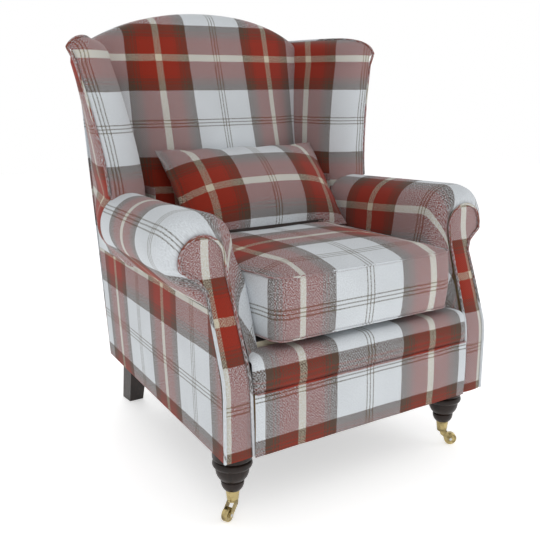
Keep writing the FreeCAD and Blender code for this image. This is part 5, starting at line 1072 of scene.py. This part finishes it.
def pucker(points, amount):
    """Small waves beside the sewn edges: two sines along the edge that fade within 16 mm of the seam."""
    x, y, z = points[:, 0] - SEAT_MIDDLE[0], points[:, 1] - SEAT_MIDDLE[1], points[:, 2]
    edge_x, edge_y = SEAT_HALF[0] - np.abs(x), SEAT_HALF[1] - np.abs(y)
    inset = np.clip(np.minimum(edge_x, edge_y), 0, 1)
    along_edge = np.where(edge_x < edge_y, y, x)
    near = np.exp(-((inset - 0.009) / 0.008) ** 2) * (np.abs(z - 0.4415) > 0.055)
    wave = np.sin(along_edge * 175 + 2 * np.sin(along_edge * 31)) * 0.6 + np.sin(along_edge * 390 + 1) * 0.25
    points[:, 2] += amount * near * wave * np.sign(z - 0.4415)
    return points


seat_cushion = seat_shell()
seat_start = points_of(seat_cushion.data)
seat_off = np.minimum(np.abs(seat_start[:, 2] - SEAT_EDGE_HIGH), np.abs(seat_start[:, 2] - SEAT_EDGE_LOW))
seat_after = inflate(seat_cushion, 0.010, np.where(seat_off < 0.0003, 0.97, 0.0))
limits_low = np.array([-0.2575, -0.4025, 0.3685])
limits_high = np.array([0.2435, 0.0715, 0.5300])
seat_after = np.clip(seat_after, limits_low, limits_high)
seat_after = pucker(seat_after, 0.0011)
corner_far = np.hypot(seat_after[:, 0] + 0.2535, seat_after[:, 1] + 0.392)
seat_after[:, 2] += 0.004 * np.exp(-(corner_far / 0.016) ** 2) * (seat_after[:, 2] > 0.48)
by_arm = np.exp(-((seat_after[:, 1] + 0.393) / 0.13) ** 2) * smooth_step((-seat_after[:, 0] - 0.13) / 0.12)
seat_after[:, 0] += 0.019 * by_arm
seat_after[:, :2] += (np.array([-0.2360, -0.392]) - seat_after[:, :2]) * (
    0.28 * np.exp(-(corner_far / 0.02) ** 2)
    * np.exp(-((seat_after[:, 2] - SEAT_EDGE_HIGH) / 0.012) ** 2))[:, None]
set_points(seat_cushion, seat_after)
dress(seat_cushion, "seat_cushion", "check_cloth", check_cloth, "seat_cushion_cover", "seat_cushion_filling")

# Its seams: the edges of the border turned in and sewn to the panels, top and bottom, with a row of short
# stitches on the border beside each; their thread is coloured dark as painted shade, a darker line along each seam.
seam_plan = rim(ring_square(*SEAT_HALF, SEAT_CORNER, SEAT_GRID)[0]) + SEAT_MIDDLE
seam_plan = np.roll(seam_plan, -int(np.argmax(seam_plan[:, 1] - np.abs(seam_plan[:, 0]))), axis=0)
for name, level, rise in (("seat_seam_top", SEAT_EDGE_HIGH, 1), ("seat_seam_bottom", SEAT_EDGE_LOW, -1)):
    corners = np.concatenate([seam_plan, np.full((len(seam_plan), 1), level)], axis=1)
    nearest = [int(np.argmin(np.abs(seat_start - spot).sum(axis=1))) for spot in corners]
    seam_spots = seat_after[nearest]
    out = seam_spots[:, :2] - SEAT_MIDDLE
    out = np.concatenate([np.sign(out) * (np.abs(out) / SEAT_HALF) ** 12,
                          np.full((len(out), 1), 0.8 * rise)], axis=1)
    out /= np.linalg.norm(out, axis=1, keepdims=True)
    seam_path = smooth_path(np.concatenate([seam_spots, seam_spots[:1]])
                            + 0.0003 * np.concatenate([out, out[:1]]), 700, 1)
    lay = np.stack([seam_path[:, 0] * FRONT_SCALE, np.full(len(seam_path), 0.060)], axis=-1)
    seam = tube(name, seam_path, 0.0019, np.array([0.03, 0.02, 1.0]), lay, 10)
    dress(seam, "seat_cushion", "piping_cloth", piping_cloth)
    stitches = stitch_line(name + "_stitches", seam_spots + out * 0.0008 - np.array([0, 0, 0.0042 * rise]),
                           out * [1, 1, 0.02])
    dress(stitches, "seat_cushion", "piping_cloth", seam_shade_thread)


# Lumbar cushion: two panels of the check sewn edge to edge over a soft filling, plump in the middle,
# with pointed ears; it leans on the inside back.
LUMBAR_TURN = math.radians(42)
LUMBAR_HALF = 0.134
LUMBAR_TOP = (0.3674 + 0.010 + 0.128 + 0.016 - 0.011) + 2 * LUMBAR_HALF * math.cos(LUMBAR_TURN)
LUMBAR_Y = back_face(LUMBAR_TOP) - 0.0058 - LUMBAR_HALF * math.sin(LUMBAR_TURN)
LUMBAR_Z = LUMBAR_TOP - LUMBAR_HALF * math.cos(LUMBAR_TURN)


def lumbar_lay(points):
    """Turn points of the upright cushion to its lean and put them in its place."""
    x, y, z = points[..., 0], points[..., 1], points[..., 2]
    return np.stack([x + 0.018, y * math.cos(LUMBAR_TURN) + z * math.sin(LUMBAR_TURN) + LUMBAR_Y,
                     z * math.cos(LUMBAR_TURN) - y * math.sin(LUMBAR_TURN) + LUMBAR_Z], axis=-1)


def lumbar_panel(front):
    """One panel: its edges bow inwards between the ears, and its thickness falls to the seam as a power."""
    line = crowded(90, 0.5)
    s, t = np.meshgrid(line, line, indexing="ij")
    x = s * (0.2300 - 0.0085 * (1 - t ** 2)) + 0.011 * np.clip(s, 0, 1) * smooth_step(t * 0.5 + 0.5)
    bow_top = (0.0065 * (1 - s ** 2) + 0.0035 * np.exp(-((s + 0.22) / 0.10) ** 2)
               - 0.0025 * np.exp(-((s + 0.02) / 0.12) ** 2))
    z = np.where(t > 0, t * (LUMBAR_HALF - bow_top), t * (LUMBAR_HALF - 0.006 * (1 - s ** 2)))
    shape = (1 - np.abs(s) ** 2.7) ** 0.62 * (1 - np.abs(t) ** 2.3) ** 0.66
    half = 0.062 * (1.2 if front else 0.8)
    y = (-1 if front else 1) * half * shape
    points = np.stack([x, y, z], axis=-1)
    uv = np.stack([(x - 0.013) * 1.05, 0.177 + (z + 0.019) * 1.01], axis=-1)
    return points, uv


front_points, front_uv = lumbar_panel(True)
rear_points, rear_uv = lumbar_panel(False)
lumbar_cushion = welded([surface("lumbar_front", front_points, front_uv),
                         surface("lumbar_rear", rear_points, rear_uv)],
                        "lumbar_cushion")
lumbar_seam = np.abs(points_of(lumbar_cushion.data)[:, 1]) < 1e-6
blown = inflate(lumbar_cushion, 0.006, np.where(lumbar_seam, 0.9, 0.0))
wave_x, wave_z = blown[:, 0], blown[:, 2]
top_near = np.exp(-((wave_z - 0.122) / 0.020) ** 2)
blown[:, 1] += top_near * 0.0030 * np.sin(wave_x * 62 + 0.8) * np.sign(blown[:, 1])
blown[:, 2] -= np.exp(-((wave_z - 0.130) / 0.016) ** 2) * (
    0.0055 * np.exp(-((wave_x + 0.062) / 0.016) ** 2) + 0.0035 * np.exp(-((wave_x - 0.052) / 0.018) ** 2))
side_near = np.exp(-((0.222 - np.abs(wave_x)) / 0.03) ** 2)
blown[:, 1] += side_near * 0.0014 * np.sin(wave_z * 90) * np.sign(blown[:, 1])
laid = lumbar_lay(blown)
laid[:, 1] = np.minimum(laid[:, 1], back_face(laid[:, 2]) - 0.0004 + 1.0 * (blown[:, 1] < 0.0))
set_points(lumbar_cushion, laid)
dress(lumbar_cushion, "lumbar_cushion", "check_cloth", check_cloth, "lumbar_cushion_cover",
      "lumbar_cushion_filling")


# Zips and webbing: dark woven tape on each cushion's zip, and pale elastic webbing across the back;
# they stay the frame's own pieces.
def woven_band(name, colour, across, pitch):
    """Narrow woven tape: cross threads at a pitch with darker gaps, and a faint line of ribs along it."""
    made, tree, shader = new_material(name)
    place = put(tree, "ShaderNodeTexCoord").outputs["Object"]
    split = put(tree, "ShaderNodeSeparateXYZ", {0: place})
    ribs = calc(tree, "MULTIPLY", split.outputs[across], 2 * math.pi / pitch)
    ribs = calc(tree, "SINE", ribs)
    grain = noise(tree, place, 900.0, 2.0)
    both = calc(tree, "MULTIPLY_ADD", ribs, 0.25, grain)
    tone = colour_mix(tree, both, (*[c * 0.55 for c in colour], 1), (*colour, 1))
    tree.links.new(tone, shader.inputs["Base Color"])
    relief(tree, shader, 0.5, 0.0004, both)
    shader.inputs["Roughness"].default_value = 0.82
    return made


zip_tape = woven_band("zip_tape", (0.055, 0.042, 0.038), 0, 0.0021)
repaint(zip_tape, "seat_zip", "lumbar_zip")
webbing_band = woven_band("elastic_webbing", (0.30, 0.22, 0.13), 2, 0.0032)
repaint(webbing_band, "back_webbing")


# Metals: dull nickel zip sliders, zinc-plated bolts, clips and castor axles, oiled spring wire, and
# aged brass castors that are rubbed bright in places.
def metal(name, bright, dull, scale, low, high, metallic=1.0):
    """Worn metal: two tones by a coarse noise, with a fine one as scratches in its roughness and bump."""
    made, tree, shader = new_material(name)
    place = put(tree, "ShaderNodeTexCoord").outputs["Object"]
    coarse = noise(tree, place, scale, 5.0)
    fine = noise(tree, place, scale * 14, 2.0)
    share = remap(tree, coarse, 0.42, 0.68, 0.0, 1.0)
    tone = colour_mix(tree, share, (*bright, 1), (*dull, 1))
    tree.links.new(tone, shader.inputs["Base Color"])
    both = calc(tree, "MULTIPLY", coarse, fine)
    rough = remap(tree, both, 0.15, 0.42, low, high)
    tree.links.new(rough, shader.inputs["Roughness"])
    relief(tree, shader, 0.12, 0.0003, fine)
    shader.inputs["Metallic"].default_value = metallic
    return made


nickel = metal("dull_nickel", (0.50, 0.49, 0.47), (0.28, 0.27, 0.25), 180.0, 0.25, 0.5)
zinc = metal("zinc_plate", (0.62, 0.63, 0.64), (0.42, 0.42, 0.41), 90.0, 0.28, 0.5)
spring_wire = metal("oiled_wire", (0.20, 0.20, 0.21), (0.10, 0.095, 0.09), 120.0, 0.25, 0.55)
brass = metal("aged_brass", (0.50, 0.40, 0.19), (0.20, 0.155, 0.075), 60.0, 0.18, 0.40)
repaint(nickel, "seat_zip_slider", "lumbar_zip_slider")
repaint(zinc, "spring_clips", "leg_bolts", "castor_axle_left", "castor_axle_right")
repaint(spring_wire, "seat_springs")
repaint(brass, *[f"castor_{part}_{side}" for part in ("cup", "horn", "wheel") for side in ("left", "right")])


# Woods: turned front legs and square rear legs, stained near black with a satin finish that is worn
# to brown in spots, and the pale sawn timber of the frame, its grain along each piece.
def wood(name, light, dark, axis, scale, rough_low, rough_high, edge=None):
    """Wood: noise stretched along the grain, growth lines from its bands, and pores in the bump."""
    made, tree, shader = new_material(name)
    place = put(tree, "ShaderNodeTexCoord").outputs["Object"]
    stretch = [scale, scale, scale]
    stretch[axis] = scale * 0.07
    long = put(tree, "ShaderNodeVectorMath", {0: place, 1: tuple(stretch)}, operation="MULTIPLY")
    grain = noise(tree, long.outputs[0], 1.0, 6.0, 0.6)
    lines = calc(tree, "MULTIPLY", grain, 26.0)
    lines = calc(tree, "SINE", lines)
    pores = noise(tree, long.outputs[0], 9.0, 3.0)
    mixed = calc(tree, "MULTIPLY_ADD", lines, 0.18, grain)
    tone = colour_mix(tree, mixed, (*dark, 1), (*light, 1))
    colour = tone
    if edge is not None:
        worn = noise(tree, place, 55.0, 4.0)
        spots = remap(tree, worn, 0.60, 0.74, 0.0, 0.7)
        rubbed = colour_mix(tree, spots, colour, (*edge, 1))
        colour = rubbed
    tree.links.new(colour, shader.inputs["Base Color"])
    rough = remap(tree, pores, 0.3, 0.7, rough_low, rough_high)
    tree.links.new(rough, shader.inputs["Roughness"])
    relief(tree, shader, 0.2, 0.0004, pores)
    return made


leg_wood = wood("stained_legs", (0.022, 0.011, 0.008), (0.007, 0.004, 0.003), 2, 60.0, 0.30, 0.5,
                edge=(0.045, 0.020, 0.012))
leg_wood.node_tree.nodes["Principled BSDF"].inputs["Specular IOR Level"].default_value = 0.32
repaint(leg_wood, "front_leg_left", "front_leg_right", "rear_leg_left", "rear_leg_right")
for axis, nodes in ((0, ("front_rail", "back_rail", "cross_rail", "back_top_rail")),
                    (1, ("side_rails", "arm_rails")),
                    (2, ("back_posts", "arm_stumps", "wing_boards", "corner_blocks"))):
    timber = wood(f"frame_timber_{'xyz'[axis]}", (0.56, 0.39, 0.22), (0.40, 0.25, 0.12), axis, 45.0, 0.55, 0.75)
    repaint(timber, *nodes)


# Seat deck padding: a slab of open-celled foam over the springs, yellowed in patches; it shows only
# when the covers are off.
def foam():
    """Foam: fine open cells as a bump, with yellowing in soft patches."""
    made, tree, shader = new_material("seat_foam")
    place = put(tree, "ShaderNodeTexCoord").outputs["Object"]
    cells = put(tree, "ShaderNodeTexVoronoi", {"Vector": place, "Scale": 700.0})
    patch = noise(tree, place, 14.0, 3.0)
    tone = colour_mix(tree, patch, (0.78, 0.72, 0.52, 1), (0.86, 0.82, 0.68, 1))
    tree.links.new(tone, shader.inputs["Base Color"])
    relief(tree, shader, 0.5, 0.0006, cells.outputs["Distance"])
    shader.inputs["Roughness"].default_value = 0.95
    return made


repaint(foam(), "seat_deck_pad")
